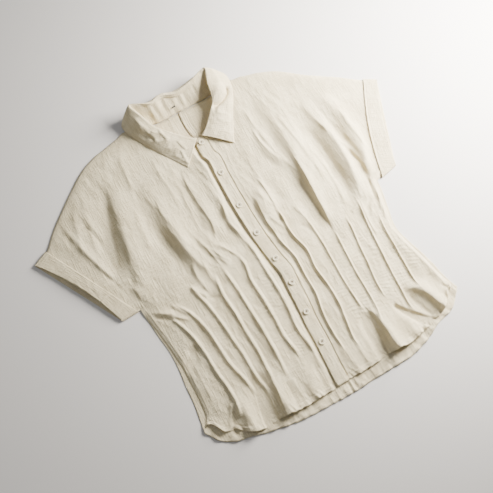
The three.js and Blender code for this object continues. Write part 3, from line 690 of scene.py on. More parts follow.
@dataclass(frozen=True)
class Side:
    """One half of the blouse over the plan."""

    name: str
    sign: int
    lines: tuple[Line, ...]
    form: TuckForm
    first: tuple[float, ...]  # the columns beside or under the band, from its edge
    uneven: float  # how much the tucks' height varies
    roll: float  # the width over which the outer edges round down
    seam_depth: float
    seam_x: tuple[float, ...]
    seam_y: tuple[float, ...]
    back_x: tuple[float, ...]
    cuff: CuffPlan
    outline: tuple[Pair, ...]  # the neck and shoulder that show, from the buttons outwards

    def shoulder_run(self) -> Array:
        """The shoulder edge's points, from the neck out to the sleeve's end."""
        ends = [line.end for line in self.lines[2:]]
        return np.array([*ends, self.cuff.line[0], self.cuff.sleeve[0]], float)

    def edge_run(self) -> Array:
        """The side seam's points, from the hem up to the sleeve's lower corner."""
        return np.array([*zip(self.seam_x, self.seam_y), self.cuff.sleeve[1]], float)

    def seam(self, xs: tuple[float, ...], height: Array) -> Array:
        """A measured coordinate of the side seam at heights up to the underarm."""
        return along(SEAM_HEIGHTS, xs, np.minimum(height, UNDERARM))

    def top_y(self, x: Array, first: int = 0) -> Array:
        """The shoulder outline's y.

        Args:
            x: The places' x.
            first: The first point of the outline that counts.

        Returns:
            The y at each place.
        """
        line = sorted((abs(px), py) for px, py in self.outline[first:])
        return along(*zip(*line), np.abs(x))

    def inside_cuff(self, x: Array, y: Array) -> Array:
        """How far places have gone into the cuff.

        Args:
            x: The places' x.
            y: The places' y.

        Returns:
            Shares from 0 to 1.
        """
        (tx, ty), (bx, by) = self.cuff.inner
        dx, dy = bx - tx, by - ty
        past = self.sign * ((y - ty) * dx - (x - tx) * dy) / math.hypot(dx, dy)
        return smooth(past, *INTO_CUFF) * smooth(y, *OVER_UNDERARM)

    def cuff_share(self, x: Array, y: Array) -> Array:
        """Where along the cuff places lie.

        Args:
            x: The places' x.
            y: The places' y.

        Returns:
            The share of the way from the shoulder to the underarm.
        """
        low, high = np.zeros(np.shape(x)), np.ones(np.shape(x))
        for _ in range(16):
            share = (low + high) / 2
            ox, oy = on_edge(self.cuff.outer, share)
            ix, iy = on_edge(self.cuff.inner, share)
            turn = self.sign * ((ix - ox) * (y - oy) - (iy - oy) * (x - ox))
            high, low = np.where(turn < 0, share, high), np.where(turn < 0, low, share)
        return (low + high) / 2

    def pucker_share(self, x: Array) -> Array:
        """How strong the waist's puckers are.

        Args:
            x: The places' x.

        Returns:
            The share at each place.
        """
        if self.sign > 0:
            return smooth(x, 62, 80)
        return 0.25 * smooth(x, -200, -150) + 0.75 * between(x, *BESIDE_BAND)


RIGHT = Side(
    name="front_right",
    sign=-1,
    lines=RIGHT_LINES,
    form=TuckForm.PIPE,
    first=(-18.0, -8.0, -3.0, -1.0),
    uneven=0.2,
    roll=28.0,
    seam_depth=0.3,
    seam_x=(-262, -252, -249, -247, -246, -245, -248, -252, -257, -261),
    seam_y=(57, 72, 88, 108, 140, 172, 208, 245, 280, 307),
    back_x=(-268, -265, -262, -259, -257, -253, -252, -256, -259, -261),
    cuff=CuffPlan(
        name="cuff_right",
        outer=((-392, 478), (-299, 302)),
        inner=((-362, 492), (-266, 303)),
        sleeve=((-385, 477), (-293, 308)),
        line=((-355, 490), (-266, 319)),
        end=5,
        bulge=4.5,
        draw=10,
        lumps=Lumps.CUFF_RIGHT,
        tuck_in=-0.7,
    ),
    outline=(
        (-8, 545), (-33, 549), (-64, 573), (-84, 622), (-121, 634), (-140, 629), (-176, 621),
        (-198, 616), (-232, 601), (-268, 575), (-300, 549), (-330, 523), (-348, 504), (-358, 493),
        (-372, 484), (-385, 477),
    ),
)
LEFT = Side(
    name="front_left",
    sign=1,
    lines=LEFT_LINES,
    form=TuckForm.FLAP,
    first=(-3.0, -1.2, -0.4),
    uneven=0.1,
    roll=20.0,
    seam_depth=0.5,
    seam_x=(262, 257, 253, 249, 243, 235, 230, 238, 246, 253),
    seam_y=(62, 76, 90, 110, 140, 172, 206, 243, 280, 305),
    back_x=(269, 262, 258, 255, 248, 239, 233, 241, 250, 253),
    cuff=CuffPlan(
        name="cuff_left",
        outer=((366, 483), (300, 310)),
        inner=((343, 498), (264, 302)),
        sleeve=((360, 481), (294, 315)),
        line=((337, 497), (262, 318)),
        end=5.5,
        bulge=2.5,
        draw=3,
        lumps=Lumps.CUFF_LEFT,
        tuck_in=0.9,
        bend=-9,
    ),
    outline=(
        (8, 545), (36, 551), (66, 573), (82, 620), (127, 626), (148, 621), (169, 615), (205, 598),
        (247, 565), (280, 542), (302, 527), (325, 509), (340, 497), (348, 491), (360, 481),
    ),
)
SIDES = (RIGHT, LEFT)


def neck_share(height: Array) -> Array:
    """The share of the way from the underarm up to the neck."""
    return np.clip((height - UNDERARM) / (NECK - UNDERARM), 0, 1)


def band_x(y: Field) -> Array:
    """The x of the button band's middle line."""
    return along(BAND_LINE_Y, BAND_LINE_X, y)


def band_lift(y: Field) -> Array:
    """How far the band is lifted over the right front."""
    return along(BAND_LINE_Y, BAND_LIFT, y)


def band_top(y: Field) -> Array:
    """The level of the band's upper face."""
    return BAND_FLOOR + BAND_WALL + band_lift(y)


def past_band(side: Side, x: Array, y: Array) -> Array:
    """How far places are past the band's edge."""
    return side.sign * (x - band_x(y)) - BAND_WIDTH / 2


def front_level(side: Side, x: Array, y: Array) -> Array:
    """The level of a front's upper face, without its tucks.

    Args:
        side: The half that the places are in.
        x: The places' x.
        y: The places' y.

    Returns:
        The level at each place.
    """
    x, y = np.asarray(x, float), np.asarray(y, float)
    gap = np.minimum(nearest(side.shoulder_run(), x, y)[0], nearest(side.edge_run(), x, y)[0])
    round_edge = 1 - (1 - np.clip(gap / side.roll, 0, 1)) ** ROLL_POWER
    small = add_all(FINE_CREASES, x, y)
    small += Lumps.FRONT.at(x, y) + CRUMPLE_RISE * crumple(x, y)
    small += Lumps.FRONT_FINE.at(x, y)
    strength = PUCKER_RISE * between(y, *WAIST) * side.pucker_share(x)
    small += strength * puckers(x, y, 0.3, Lumps.PUCKER_DRIFT, Lumps.PUCKER_PATCHES)
    rise = add_all(MAIN_FOLDS, x, y) + FINE_RISE * small - FINE_SINK
    loose = LEAST + EDGE_CLEAR + np.maximum((LOFT + rise) * round_edge, 0)
    in_cuff = side.cuff.top(side.cuff_share(x, y)) - CUFF_WALL - CUFF_CLEAR
    level = lerp(loose, in_cuff, side.inside_cuff(x, y))
    past = past_band(side, x, y)
    if side.sign < 0:
        return lerp(LEAST - BAND_SINK * between(y, *BAND_CURL), level, smooth(past, *UNDER_BAND))
    return lerp(BAND_FLOOR + FRONT_CLOTH + band_lift(y), level, smooth(past, *OUT_OF_BAND))


def hem_shape(x: Array, y: Array, height: Array) -> Array:
    """What a front's turned-up hem adds to its level.

    Args:
        x: The places' x.
        y: The places' y.
        height: How far they are above the hem's edge.

    Returns:
        The height to add at each place.
    """
    turned, groove, drop_height, ruffle_height = 0.7, 0.6, 50, 16
    rise = turned * (1 - smooth(height, HEM_TURN - 1.2, HEM_TURN + 0.8))
    rise -= groove * bell(height - HEM_TURN, 1.3)
    rise += Lumps.HEM_RIPPLE.at(x + 0.4 * height, y) * (1 - smooth(height, 5, 24))
    rise -= HEM_DROP * (1 - smooth(height, 0, drop_height))
    for place, wide, lifted in RUFFLES:
        rise += lifted * bell(x - place, wide) * (1 - smooth(height, 0, ruffle_height))
    return rise


# ---- meshes ----


def grid_quads(rows: int, cols: int, closed: bool) -> Grid:
    """The faces of two matching grids, back to back, and of the walls between their edges.

    Args:
        rows: The rows of each grid.
        cols: The columns of each grid.
        closed: Whether the last column joins the first.

    Returns:
        The faces of both grids, and the faces of the walls.
    """
    steps = cols if closed else cols - 1
    i, j = (a.ravel() for a in np.meshgrid(np.arange(rows - 1), np.arange(steps), indexing="ij"))
    under, last = rows * cols, rows - 1

    def at(row: Array | int, col: Array | int) -> Array:
        """The number of the upper grid's point in a row and a column."""
        return row * cols + np.asarray(col) % cols

    top = join(at(i, j), at(i, j + 1), at(i + 1, j + 1), at(i + 1, j))
    bottom = join(at(i, j), at(i + 1, j), at(i + 1, j + 1), at(i, j + 1)) + under
    a, up = np.arange(steps), np.arange(rows - 1)
    walls = [
        join(under + at(0, a), under + at(0, a + 1), at(0, a + 1), at(0, a)),
        join(at(last, a), at(last, a + 1), under + at(last, a + 1), under + at(last, a)),
    ]
    if not closed:
        walls += [
            join(at(up, 0), at(up + 1, 0), under + at(up + 1, 0), under + at(up, 0)),
            join(under + at(up, steps), under + at(up + 1, steps), at(up + 1, steps), at(up, steps)),
        ]
    return np.concatenate([top, bottom]), np.concatenate(walls)


def link(name: str, data: bpy.types.ID) -> Obj:
    """Makes an object of some data and puts it in the scene.

    Args:
        name: The object's name.
        data: Its mesh, camera or light.

    Returns:
        The object.
    """
    obj = bpy.data.objects.new(name, data)
    bpy.context.scene.collection.objects.link(obj)
    return obj


def make_cloth(
    name: str, upper: Array, lower: Array, uv: Array, closed: bool = False
) -> Obj:
    """Makes a piece of cloth with a wall between two matching grids of plan points.

    Args:
        name: The piece's name.
        upper: The outer face's points, rows by columns by three, in millimetres.
        lower: The inner face's points.
        uv: The weave's coordinates at each point, in millimetres.
        closed: Whether the last column joins the first.

    Returns:
        The piece.
    """
    rows, cols = upper.shape[:2]
    skin, walls = grid_quads(rows, cols, closed)
    points = to_frame(np.concatenate([upper.reshape(-1, 3), lower.reshape(-1, 3)]))
    a, b, c, d = (points[skin[:, k]] for k in range(4))
    volume = np.sum(a * np.cross(b, c)) + np.sum(a * np.cross(c, d))
    if volume < 0:
        skin, walls = skin[:, ::-1], walls[:, ::-1]
    faces = np.concatenate([skin, walls])
    mesh = bpy.data.meshes.new(name)
    mesh.from_pydata(points.tolist(), [], faces.tolist())
    is_smooth = np.ones(len(faces), bool)
    is_smooth[len(skin):] = closed
    mesh.polygons.foreach_set("use_smooth", is_smooth)
    layer = mesh.uv_layers.new(name=UV_NAME)
    flat = np.concatenate([uv.reshape(-1, 2), uv.reshape(-1, 2)]) * MM
    corner = np.empty(len(mesh.loops), np.int32)
    mesh.loops.foreach_get("vertex_index", corner)
    layer.data.foreach_set("uv", flat[corner].ravel())
    mesh.validate()
    mesh.update()
    return link(name, mesh)


def grid_normals(points: Array) -> Array:
    """The directions square to a grid of points.

    Args:
        points: The grid, rows by columns by three.

    Returns:
        A unit vector at each point, along its row's way crossed with its column's.
    """
    onward, across = np.gradient(points, axis=0), np.gradient(points, axis=1)
    square = np.cross(onward, across)
    return square / np.maximum(np.linalg.norm(square, axis=-1, keepdims=True), 1e-9)


def run_lengths(points: Array, axis: int) -> Array:
    """How far along a grid's rows or columns its points are.

    Args:
        points: The grid, rows by columns by three.
        axis: 0 for down the rows, 1 for along the columns.

    Returns:
        The length from the start at each point.
    """
    step = np.linalg.norm(np.diff(points, axis=axis), axis=-1)
    start = np.zeros_like(step[:1] if axis == 0 else step[:, :1])
    return np.concatenate([start, np.cumsum(step, axis=axis)], axis=axis)


def deselect() -> None:
    """Deselects everything, so that an operator works only on what is made next."""
    for obj in bpy.context.view_layer.objects:
        obj.select_set(False)


def apply_modifiers(obj: Obj) -> None:
    """Applies every modifier of a piece.

    Args:
        obj: The piece.
    """
    deselect()
    bpy.context.view_layer.objects.active = obj
    obj.select_set(True)
    for modifier in list(obj.modifiers):
        bpy.ops.object.modifier_apply(modifier=modifier.name)


def strand(segments: int, rings: int, size: Triple) -> Obj:
    """Models one strand of thread.

    Args:
        segments: The segments round it.
        rings: The rings along it.
        size: Half its length, width and thickness, in millimetres.

    Returns:
        The strand, lying along X at the origin.
    """
    deselect()
    bpy.ops.mesh.primitive_uv_sphere_add(segments=segments, ring_count=rings, radius=MM)
    obj = bpy.context.active_object
    obj.scale = size
    bpy.ops.object.transform_apply(scale=True)
    return obj


def copies(name: str, template: Obj, places: list[Matrix]) -> Obj:
    """Makes one piece of many copies of a small shape.

    Args:
        name: The piece's name.
        template: The shape, at the origin, in metres; it is removed.
        places: Where each copy goes.

    Returns:
        The piece.
    """
    mesh = template.data
    verts = np.array([v.co for v in mesh.vertices])
    faces = [tuple(p.vertices) for p in mesh.polygons]
    all_verts, all_faces = [], []
    for k, place in enumerate(places):
        m = np.array(place)
        all_verts.append(verts @ m[:3, :3].T + m[:3, 3])
        all_faces += [tuple(v + k * len(verts) for v in face) for face in faces]
    joined = bpy.data.meshes.new(name)
    joined.from_pydata(np.concatenate(all_verts).tolist(), [], all_faces)
    joined.polygons.foreach_set("use_smooth", np.ones(len(joined.polygons), bool))
    joined.update()
    bpy.data.objects.remove(template)
    return link(name, joined)


# ---- finishes ----

FLOAT, VECTOR, COLOUR = "NodeSocketFloat", "NodeSocketVector", "NodeSocketColor"


class Effect(Enum):
    """The shared surface effects, by the names of their node groups."""

    WEAVE = "plain_weave"
    TONE = "washed_tone"


def feed(tree: Tree, target: Node, **values: object) -> None:
    """Sets or links a node's inputs.

    Args:
        tree: The tree that the node is in.
        target: The node.
        **values: Values or source sockets, by the input's name with _ for a space, or i and its number.
    """
    for key, value in values.items():
        place = int(key[1:]) if key[0] == "i" and key[1:].isdigit() else key.replace("_", " ")
        if isinstance(value, Socket):
            tree.links.new(value, target.inputs[place])
        else:
            target.inputs[place].default_value = value


def node(tree: Tree, kind: str, settings: dict | None = None, **values: object) -> Node:
    """Adds a node.

    Args:
        tree: The tree that it goes in.
        kind: The node's type, without its first word.
        settings: Properties of the node.
        **values: Values or source sockets of its inputs.

    Returns:
        The node.
    """
    made = tree.nodes.new(f"ShaderNode{kind}")
    for key, value in (settings or {}).items():
        setattr(made, key, value)
    feed(tree, made, **values)
    return made


def maths(tree: Tree, operation: str, *values: object) -> Socket:
    """The result of a Math node over values or sockets."""
    inputs = {f"i{k}": value for k, value in enumerate(values)}
    return node(tree, "Math", {"operation": operation}, **inputs).outputs[0]


def stretch(tree: Tree, coords: Socket, scale: tuple) -> Socket:
    """Coordinates that are stretched along their axes."""
    return node(tree, "VectorMath", {"operation": "MULTIPLY"}, i0=coords, i1=scale).outputs[0]


def noise(tree: Tree, coords: Socket, **values: object) -> Socket:
    """The grey value of a Noise texture."""
    return node(tree, "TexNoise", Vector=coords, **values).outputs["Fac"]


def ranged(tree: Tree, value: Socket, **values: object) -> Socket:
    """The result of a Map Range node."""
    return node(tree, "MapRange", Value=value, **values).outputs["Result"]


def mix(tree: Tree, share: object, a: object, b: object) -> Socket:
    """The colour at a share of the way from a to b."""
    return node(tree, "Mix", {"data_type": "RGBA"}, i0=share, i6=a, i7=b).outputs[2]


def bump(tree: Tree, height: Socket, **values: object) -> Socket:
    """The normal of a Bump node over a height."""
    return node(tree, "Bump", Height=height, **values).outputs["Normal"]


def object_place(tree: Tree) -> Socket:
    """The place on the object, for textures that don't follow the weave."""
    return node(tree, "TexCoord").outputs["Object"]


def new_group(effect: Effect, inputs: dict[str, tuple], outputs: dict[str, str]) -> tuple:
    """Starts a node group.

    Args:
        effect: The effect that it makes.
        inputs: The socket type and the value of each input, by its name.
        outputs: The socket type of each output, by its name.

    Returns:
        The group, its input sockets and its output node.
    """
    group = bpy.data.node_groups.new(effect.value, "ShaderNodeTree")
    for name, (kind, value) in inputs.items():
        socket = group.interface.new_socket(name=name, in_out="INPUT", socket_type=kind)
        if value is not None:
            socket.default_value = value
    for name, kind in outputs.items():
        group.interface.new_socket(name=name, in_out="OUTPUT", socket_type=kind)
    return group, group.nodes.new("NodeGroupInput").outputs, group.nodes.new("NodeGroupOutput")


def weave_group() -> Tree:
    """Makes the plain weave: threads both ways, and thick slubs along them.

    Returns:
        The group, which puts out the cloth's height and a mask of its slubs.
    """
    group, given, leave = new_group(
        Effect.WEAVE,
        {"Coordinates": (VECTOR, None), "Threads": (FLOAT, 1100.0), "Slub": (FLOAT, 1.0)},
        {"Height": FLOAT, "Slubs": FLOAT},
    )
    coords, waves, slubs = given["Coordinates"], [], []
    for way in ("X", "Y"):
        wave = node(
            group, "TexWave", {"bands_direction": way},
            Vector=coords, Scale=given["Threads"], Distortion=1.2, Detail=1.0, Detail_Scale=0.35,
        )
        waves.append(wave.outputs["Fac"])
    threads = maths(group, "MAXIMUM", *waves)
    for scale in ((420.0, 34.0, 1.0), (46.0, 520.0, 1.0)):
        thick = noise(group, stretch(group, coords, scale), Scale=1.0, Detail=2.0, Roughness=0.6)
        sharp = node(
            group, "MapRange", {"interpolation_type": "SMOOTHSTEP"}, Value=thick, From_Min=0.44, From_Max=0.72
        )
        slubs.append(sharp.outputs["Result"])
    scaled = maths(group, "MULTIPLY", maths(group, "ADD", *slubs), given["Slub"])
    height = maths(group, "ADD", maths(group, "MULTIPLY", threads, 0.35), scaled)
    feed(group, leave, Height=height, Slubs=scaled)
    return group


def tone_group() -> Tree:
    """Makes the uneven colour of washed cloth, with fine crumples as a height.

    Returns:
        The group, which puts out a colour and a height.
    """
    group, given, leave = new_group(
        Effect.TONE,
        {
            "Coordinates": (VECTOR, None),
            "Light": (COLOUR, (0.8, 0.8, 0.8, 1)),
            "Dark": (COLOUR, (0.7, 0.7, 0.7, 1)),
            "Slubs": (FLOAT, 0.0),
        },
        {"Color": COLOUR, "Crumple": FLOAT},
    )
    coords = given["Coordinates"]
    broad = noise(group, coords, Scale=22.0, Detail=3.0, Roughness=0.6)
    streaks = noise(group, stretch(group, coords, (260.0, 40.0, 60.0)), Scale=1.0, Detail=3.0, Roughness=0.7)
    thick = maths(group, "MULTIPLY_ADD", given["Slubs"], 0.22, maths(group, "ADD", broad, streaks))
    mask = ranged(group, thick, From_Min=0.82, From_Max=1.3)
    fine = noise(group, coords, Scale=150.0, Detail=3.0, Roughness=0.55, Distortion=0.4)
    feed(group, leave, Color=mix(group, mask, given["Light"], given["Dark"]), Crumple=fine)
    return group


def use_group(tree: Tree, effect: Effect, **values: object) -> Node:
    """Places a shared effect in a material.

    Args:
        tree: The material's tree.
        effect: The effect.
        **values: Its inputs.

    Returns:
        The group node.
    """
    makers = {Effect.WEAVE: weave_group, Effect.TONE: tone_group}
    group = bpy.data.node_groups.get(effect.value) or makers[effect]()
    return node(tree, "Group", {"node_tree": group}, **values)


def start_material(name: str) -> tuple[Material, Tree, Node]:
    """Starts a material.

    Args:
        name: Its name.

    Returns:
        The material, its tree and its Principled shader.
    """
    material = bpy.data.materials.new(name)
    material.use_nodes = True
    tree = material.node_tree
    shader = next(n for n in tree.nodes if n.type == "BSDF_PRINCIPLED")
    return material, tree, shader


@dataclass(frozen=True)
class LinenFinish:
    """Washed plain-weave linen, undyed off-white."""

    name: str = "linen"
    light: Colour = (0.79, 0.69, 0.465, 1)
    dark: Colour = (0.66, 0.565, 0.36, 1)
    roughness: float = 0.88
    specular: float = 0.25
    sheen: float = 0.12
    sheen_roughness: float = 0.6
    threads: float = 260.0
    weave_depth: float = 0.00036
    crumple_depth: float = 0.0008
    slub: float = 1.0

    def build(self) -> Material:
        """Builds the material.

        Returns:
            The material.
        """
        material, tree, shader = start_material(self.name)
        uv = node(tree, "UVMap", {"uv_map": UV_NAME}).outputs["UV"]
        weave = use_group(tree, Effect.WEAVE, Coordinates=uv, Threads=self.threads, Slub=self.slub).outputs
        tone = use_group(
            tree, Effect.TONE,
            Coordinates=object_place(tree), Light=self.light, Dark=self.dark, Slubs=weave["Slubs"],
        ).outputs
        crumpled = bump(tree, tone["Crumple"], Distance=self.crumple_depth, Strength=1.0)
        feed(
            tree, shader,
            Base_Color=tone["Color"],
            Normal=bump(tree, weave["Height"], Distance=self.weave_depth, Strength=1.0, Normal=crumpled),
            Roughness=self.roughness,
            Specular_IOR_Level=self.specular,
            Sheen_Weight=self.sheen,
            Sheen_Roughness=self.sheen_roughness,
        )
        return material


@dataclass(frozen=True)
class ThreadFinish:
    """Sewing thread."""

    name: str = "thread"
    light: Colour = (0.74, 0.68, 0.56, 1)
    dark: Colour = (0.62, 0.56, 0.44, 1)
    roughness: float = 0.7
    twist_depth: float = 0.0002
    twist: float = 0.8

    def build(self) -> Material:
        """Builds the material.

        Returns:
            The material.
        """
        material, tree, shader = start_material(self.name)
        tone = use_group(
            tree, Effect.TONE, Coordinates=object_place(tree), Light=self.light, Dark=self.dark
        ).outputs
        twisted = bump(tree, tone["Crumple"], Distance=self.twist_depth, Strength=self.twist)
        feed(tree, shader, Base_Color=tone["Color"], Normal=twisted, Roughness=self.roughness)
        return material


@dataclass(frozen=True)
class ShellFinish:
    """The pearly face of a shirt button, with painted shade on its sunk middle and round its holes."""

    name: str = "shell_button"
    light: Colour = (0.97, 0.88, 0.66, 1)
    dark: Colour = (0.84, 0.74, 0.50, 1)
    # a near-black painted shade for the sunk middle and the holes
    painted_well_shade: Colour = (0.09, 0.07, 0.035, 1)
    roughness: Pair = (0.22, 0.4)
    coat: float = 0.35
    coat_roughness: float = 0.12

    def build(self) -> Material:
        """Builds the material.

        Returns:
            The material.
        """
        material, tree, shader = start_material(self.name)
        cloud = noise(tree, object_place(tree), Scale=160.0, Detail=3.0, Distortion=1.8)
        mask = ranged(tree, cloud, From_Min=0.35, From_Max=0.7)
        # painted shade: where the attribute is high, the face is mixed towards the near-black colour
        painted_well_shade = node(tree, "Attribute", {"attribute_name": PAINTED_SHADE_NAME}).outputs["Fac"]
        feed(
            tree, shader,
            Base_Color=mix(tree, painted_well_shade, mix(tree, mask, self.light, self.dark), self.painted_well_shade),
            Roughness=ranged(tree, cloud, To_Min=self.roughness[0], To_Max=self.roughness[1]),
            Coat_Weight=self.coat,
            Coat_Roughness=self.coat_roughness,
        )
        return material


@dataclass(frozen=True)
class FloorFinish:
    """A plain pale paper floor."""

    name: str = "floor"
    colour: Colour = (0.715, 0.687, 0.657, 1)
    roughness: float = 0.9
    specular: float = 0.15

    def build(self) -> Material:
        """Builds the material.

        Returns:
            The material.
        """
        material, tree, shader = start_material(self.name)
        feed(tree, shader, Base_Color=self.colour, Roughness=self.roughness, Specular_IOR_Level=self.specular)
        return material


def dress(obj: Obj, material: Material, slot: str, *nodes: str) -> None:
    """Gives a piece its material and its place in the frame.

    Args:
        obj: The piece.
        material: Its material.
        slot: The slot that it would be listed under, or nothing; not used.
        *nodes: The nodes that it stands in for.
    """
    obj.data.materials.clear()
    obj.data.materials.append(material)
    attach(obj, BODY)
    if nodes:
        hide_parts(*nodes)


@dataclass(frozen=True)
class Cut:
    """The flat cut of a piece of cloth: its width and length, and its area, in metres."""

    width: float
    length: float
    area: float
    held: str = "laid"

    def lay(
        self, part: str, linen: Material, form: tuple, *rests_on: str, closed: bool = False
    ) -> Obj:
        """Args:
            part: The part's node.
            linen: Its material.
            form: Its outer and inner faces' points, and the weave's coordinates.
            *rests_on: The names of what it lies on; not used.
            closed: Whether its last column joins the first.

        Returns:
            The piece.
        """
        obj = make_cloth(f"{part}_cloth", *form, closed)
        dress(obj, linen, "linen", part)
        return obj


# ---- the body of the blouse ----


@dataclass
class Front:
    """One front with its half of the sleeve, its seven tucks and its hem."""

    side: Side
    cut: Cut
    rows: int = 226
    gap_columns: int = 11
    sleeve_columns: int = 12
    tuck_back: float = 9.4
    closer_rows: float = 0.35  # how much closer together the rows are at the hem
    fade_in: Pair = (-12, 14)  # round a tuck's lower end, along it
    fade_out: Pair = (-16, 14)  # round its upper end
    narrowed: float = 0.72  # the width of the left front's outer tucks
    hem_reach: float = 40  # how high the hem's outline draws the rows
    step: float = 0.8  # the step down at the band's edge
    corner_lift: float = 4.5  # the rise of the left side's edge above its hem

    def heights(self) -> Array:
        """The heights of the rows, from the hem to the neck."""
        t = np.linspace(0, 1, self.rows)
        return NECK * (self.closer_rows * t**1.7 + (1 - self.closer_rows) * t)

    def places(self, height: Array) -> Grid:
        """Where the band's edge, the lines, the cuff's line and the outer edge are.

        Args:
            height: The rows' heights.

        Returns:
            Their x and y, rows by places.
        """
        side, seam_width = self.side, 9
        share = np.clip((NECK - height) / (NECK - SLEEVE), 0, 1)
        below = height <= UNDERARM
        low = np.minimum(height, UNDERARM)
        seam_x, seam_y = side.seam(side.seam_x, height), side.seam(side.seam_y, height)
        end_x, end_y = on_edge(side.cuff.sleeve, share)
        line_x, line_y = on_edge(side.cuff.line, share)
        end_x, line_x = end_x + side.cuff.bent(share, 0.2), line_x + side.cuff.bent(share, 1.0)
        outer_x, outer_y = np.where(below, seam_x, end_x), np.where(below, seam_y, end_y)
        inner_x = np.where(below, seam_x - seam_width * side.sign, line_x)
        inner_y = np.where(below, seam_y + seam_width * smooth(height, 290, UNDERARM), line_y)
        xs = [band_x(height) + side.sign * BAND_WIDTH / 2]
        ys = [height]
        for line in side.lines:
            x = line.at(height)
            reach = np.clip(x / outer_x, 0, 1) ** SEAM_BEND
            xs.append(x)
            ys.append(lerp(lerp(low, seam_y, reach), line.end[1], neck_share(height)))
        return join(*xs, inner_x, outer_x), join(*ys, inner_y, outer_y)

    def grid(self) -> tuple[Array, Array, Array, Array]:
        """The front's columns over the plan.

        Returns:
            x, y, the height that the tucks add, and the height of each row, rows by columns.
        """
        side, sign, height = self.side, self.side.sign, self.heights()
        px, py = self.places(height)
        level = np.zeros(height.shape)
        columns = [(px[:, 0] + sign * offset, py[:, 0], level) for offset in side.first]

        def plain(k: int, start: float, stop: float, shares: Array) -> None:
            """Adds the columns of the cloth between two lines.

            Args:
                k: The first line.
                start: How far past it they start.
                stop: How far before the next line they stop.
                shares: The shares of the way between.
            """
            ax, bx = px[:, k] + sign * start, px[:, k + 1] - sign * stop
            for share in shares:
                x = lerp(ax, bx, share)
                t = np.clip((x - px[:, k]) / (px[:, k + 1] - px[:, k]), 0, 1)
                columns.append((x, lerp(py[:, k], py[:, k + 1], t), level))

        plain(0, 0.0, self.tuck_back, np.linspace(0, 1, self.gap_columns, endpoint=False))
        for k, line in enumerate(side.lines, start=1):
            last = k == len(side.lines)
            lower, upper = np.add(line.low, self.fade_in), np.add(line.high, self.fade_out)
            live = between(py[:, k], lower, upper)
            wave = 1 + side.uneven * Lumps.TUCKS.at(py[:, k], np.full(height.shape, 9.0 * k))
            narrow = self.narrowed if sign > 0 and k > 2 else 1.0
            for back, share in side.form.value:
                towards = k - 1 if back > 0 else k + 1
                x = px[:, k] - sign * back * (narrow if 0 < back < self.tuck_back - 1.5 else 1.0)
                t = abs(back) / np.maximum(np.abs(px[:, towards] - px[:, k]), 1e-6)
                columns.append((x, lerp(py[:, k], py[:, towards], t), line.rise * live * wave * share))
            count = self.gap_columns + (3 if last else 0)
            shares = np.linspace(0, 1, count, endpoint=False)
            plain(k, 0.9 - side.form.value[-1][0], 0.0 if last else self.tuck_back, shares)
        plain(len(side.lines) + 1, 0.0, 0.0, np.linspace(0, 1, self.sleeve_columns))
        x, y, add = (join(*parts) for parts in zip(*columns))
        above = height[:, None]
        y = y + (along(*FRONT_HEM, x[0]) - y[0]) * (1 - smooth(above, 0, self.hem_reach))
        y = y + (side.top_y(x[-1]) - y[-1]) * neck_share(above) ** TOP_POWER
        y = y + Lumps.HEM_EDGE.at(x, np.zeros(x.shape)) * (1 - smooth(above, 0, 14))
        return x, y, add, np.broadcast_to(above, x.shape)

    def build(self, linen: Material) -> Obj:
        """Builds and dresses the front.

        Args:
            linen: Its material.

        Returns:
            The piece.
        """
        side = self.side
        x, y, add, height = self.grid()
        z = front_level(side, x, y) + add + hem_shape(x, y, height)
        edge = nearest(side.edge_run()[:-1], x, y)[0]
        if side.sign > 0:
            past = past_band(side, x, y)
            z -= self.step * (1 - smooth(past, -0.9, 0.9)) + 0.35 * bell(past - 0.8, 1.0)
            z += 0.7 * between(past, (1.6, 2.6), (3.4, 9))
            z += self.corner_lift * (1 - smooth(edge, 5, 38)) * between(y, (70, 105), (180, 214))
        z -= side.seam_depth * (bell(edge - 4.5, 1.0) - 0.7 * bell(edge - 7.5, 2.0)) * smooth(height, 20, 40)
        rim = np.minimum(edge, nearest(np.array(side.outline[3:], float), x, y)[0])
        closed = (1 - np.clip(rim / 7.0, 0, 1)) ** 2 * smooth(height, 16, 40)
        z = np.maximum(lerp(z, BACK_TOP + SKIN, closed), BACK_TOP + SKIN)
        form = join(x, y, z), join(x, y, z - SKIN), join(x, y)
        return self.cut.lay(side.name, linen, form, "back_cloth")


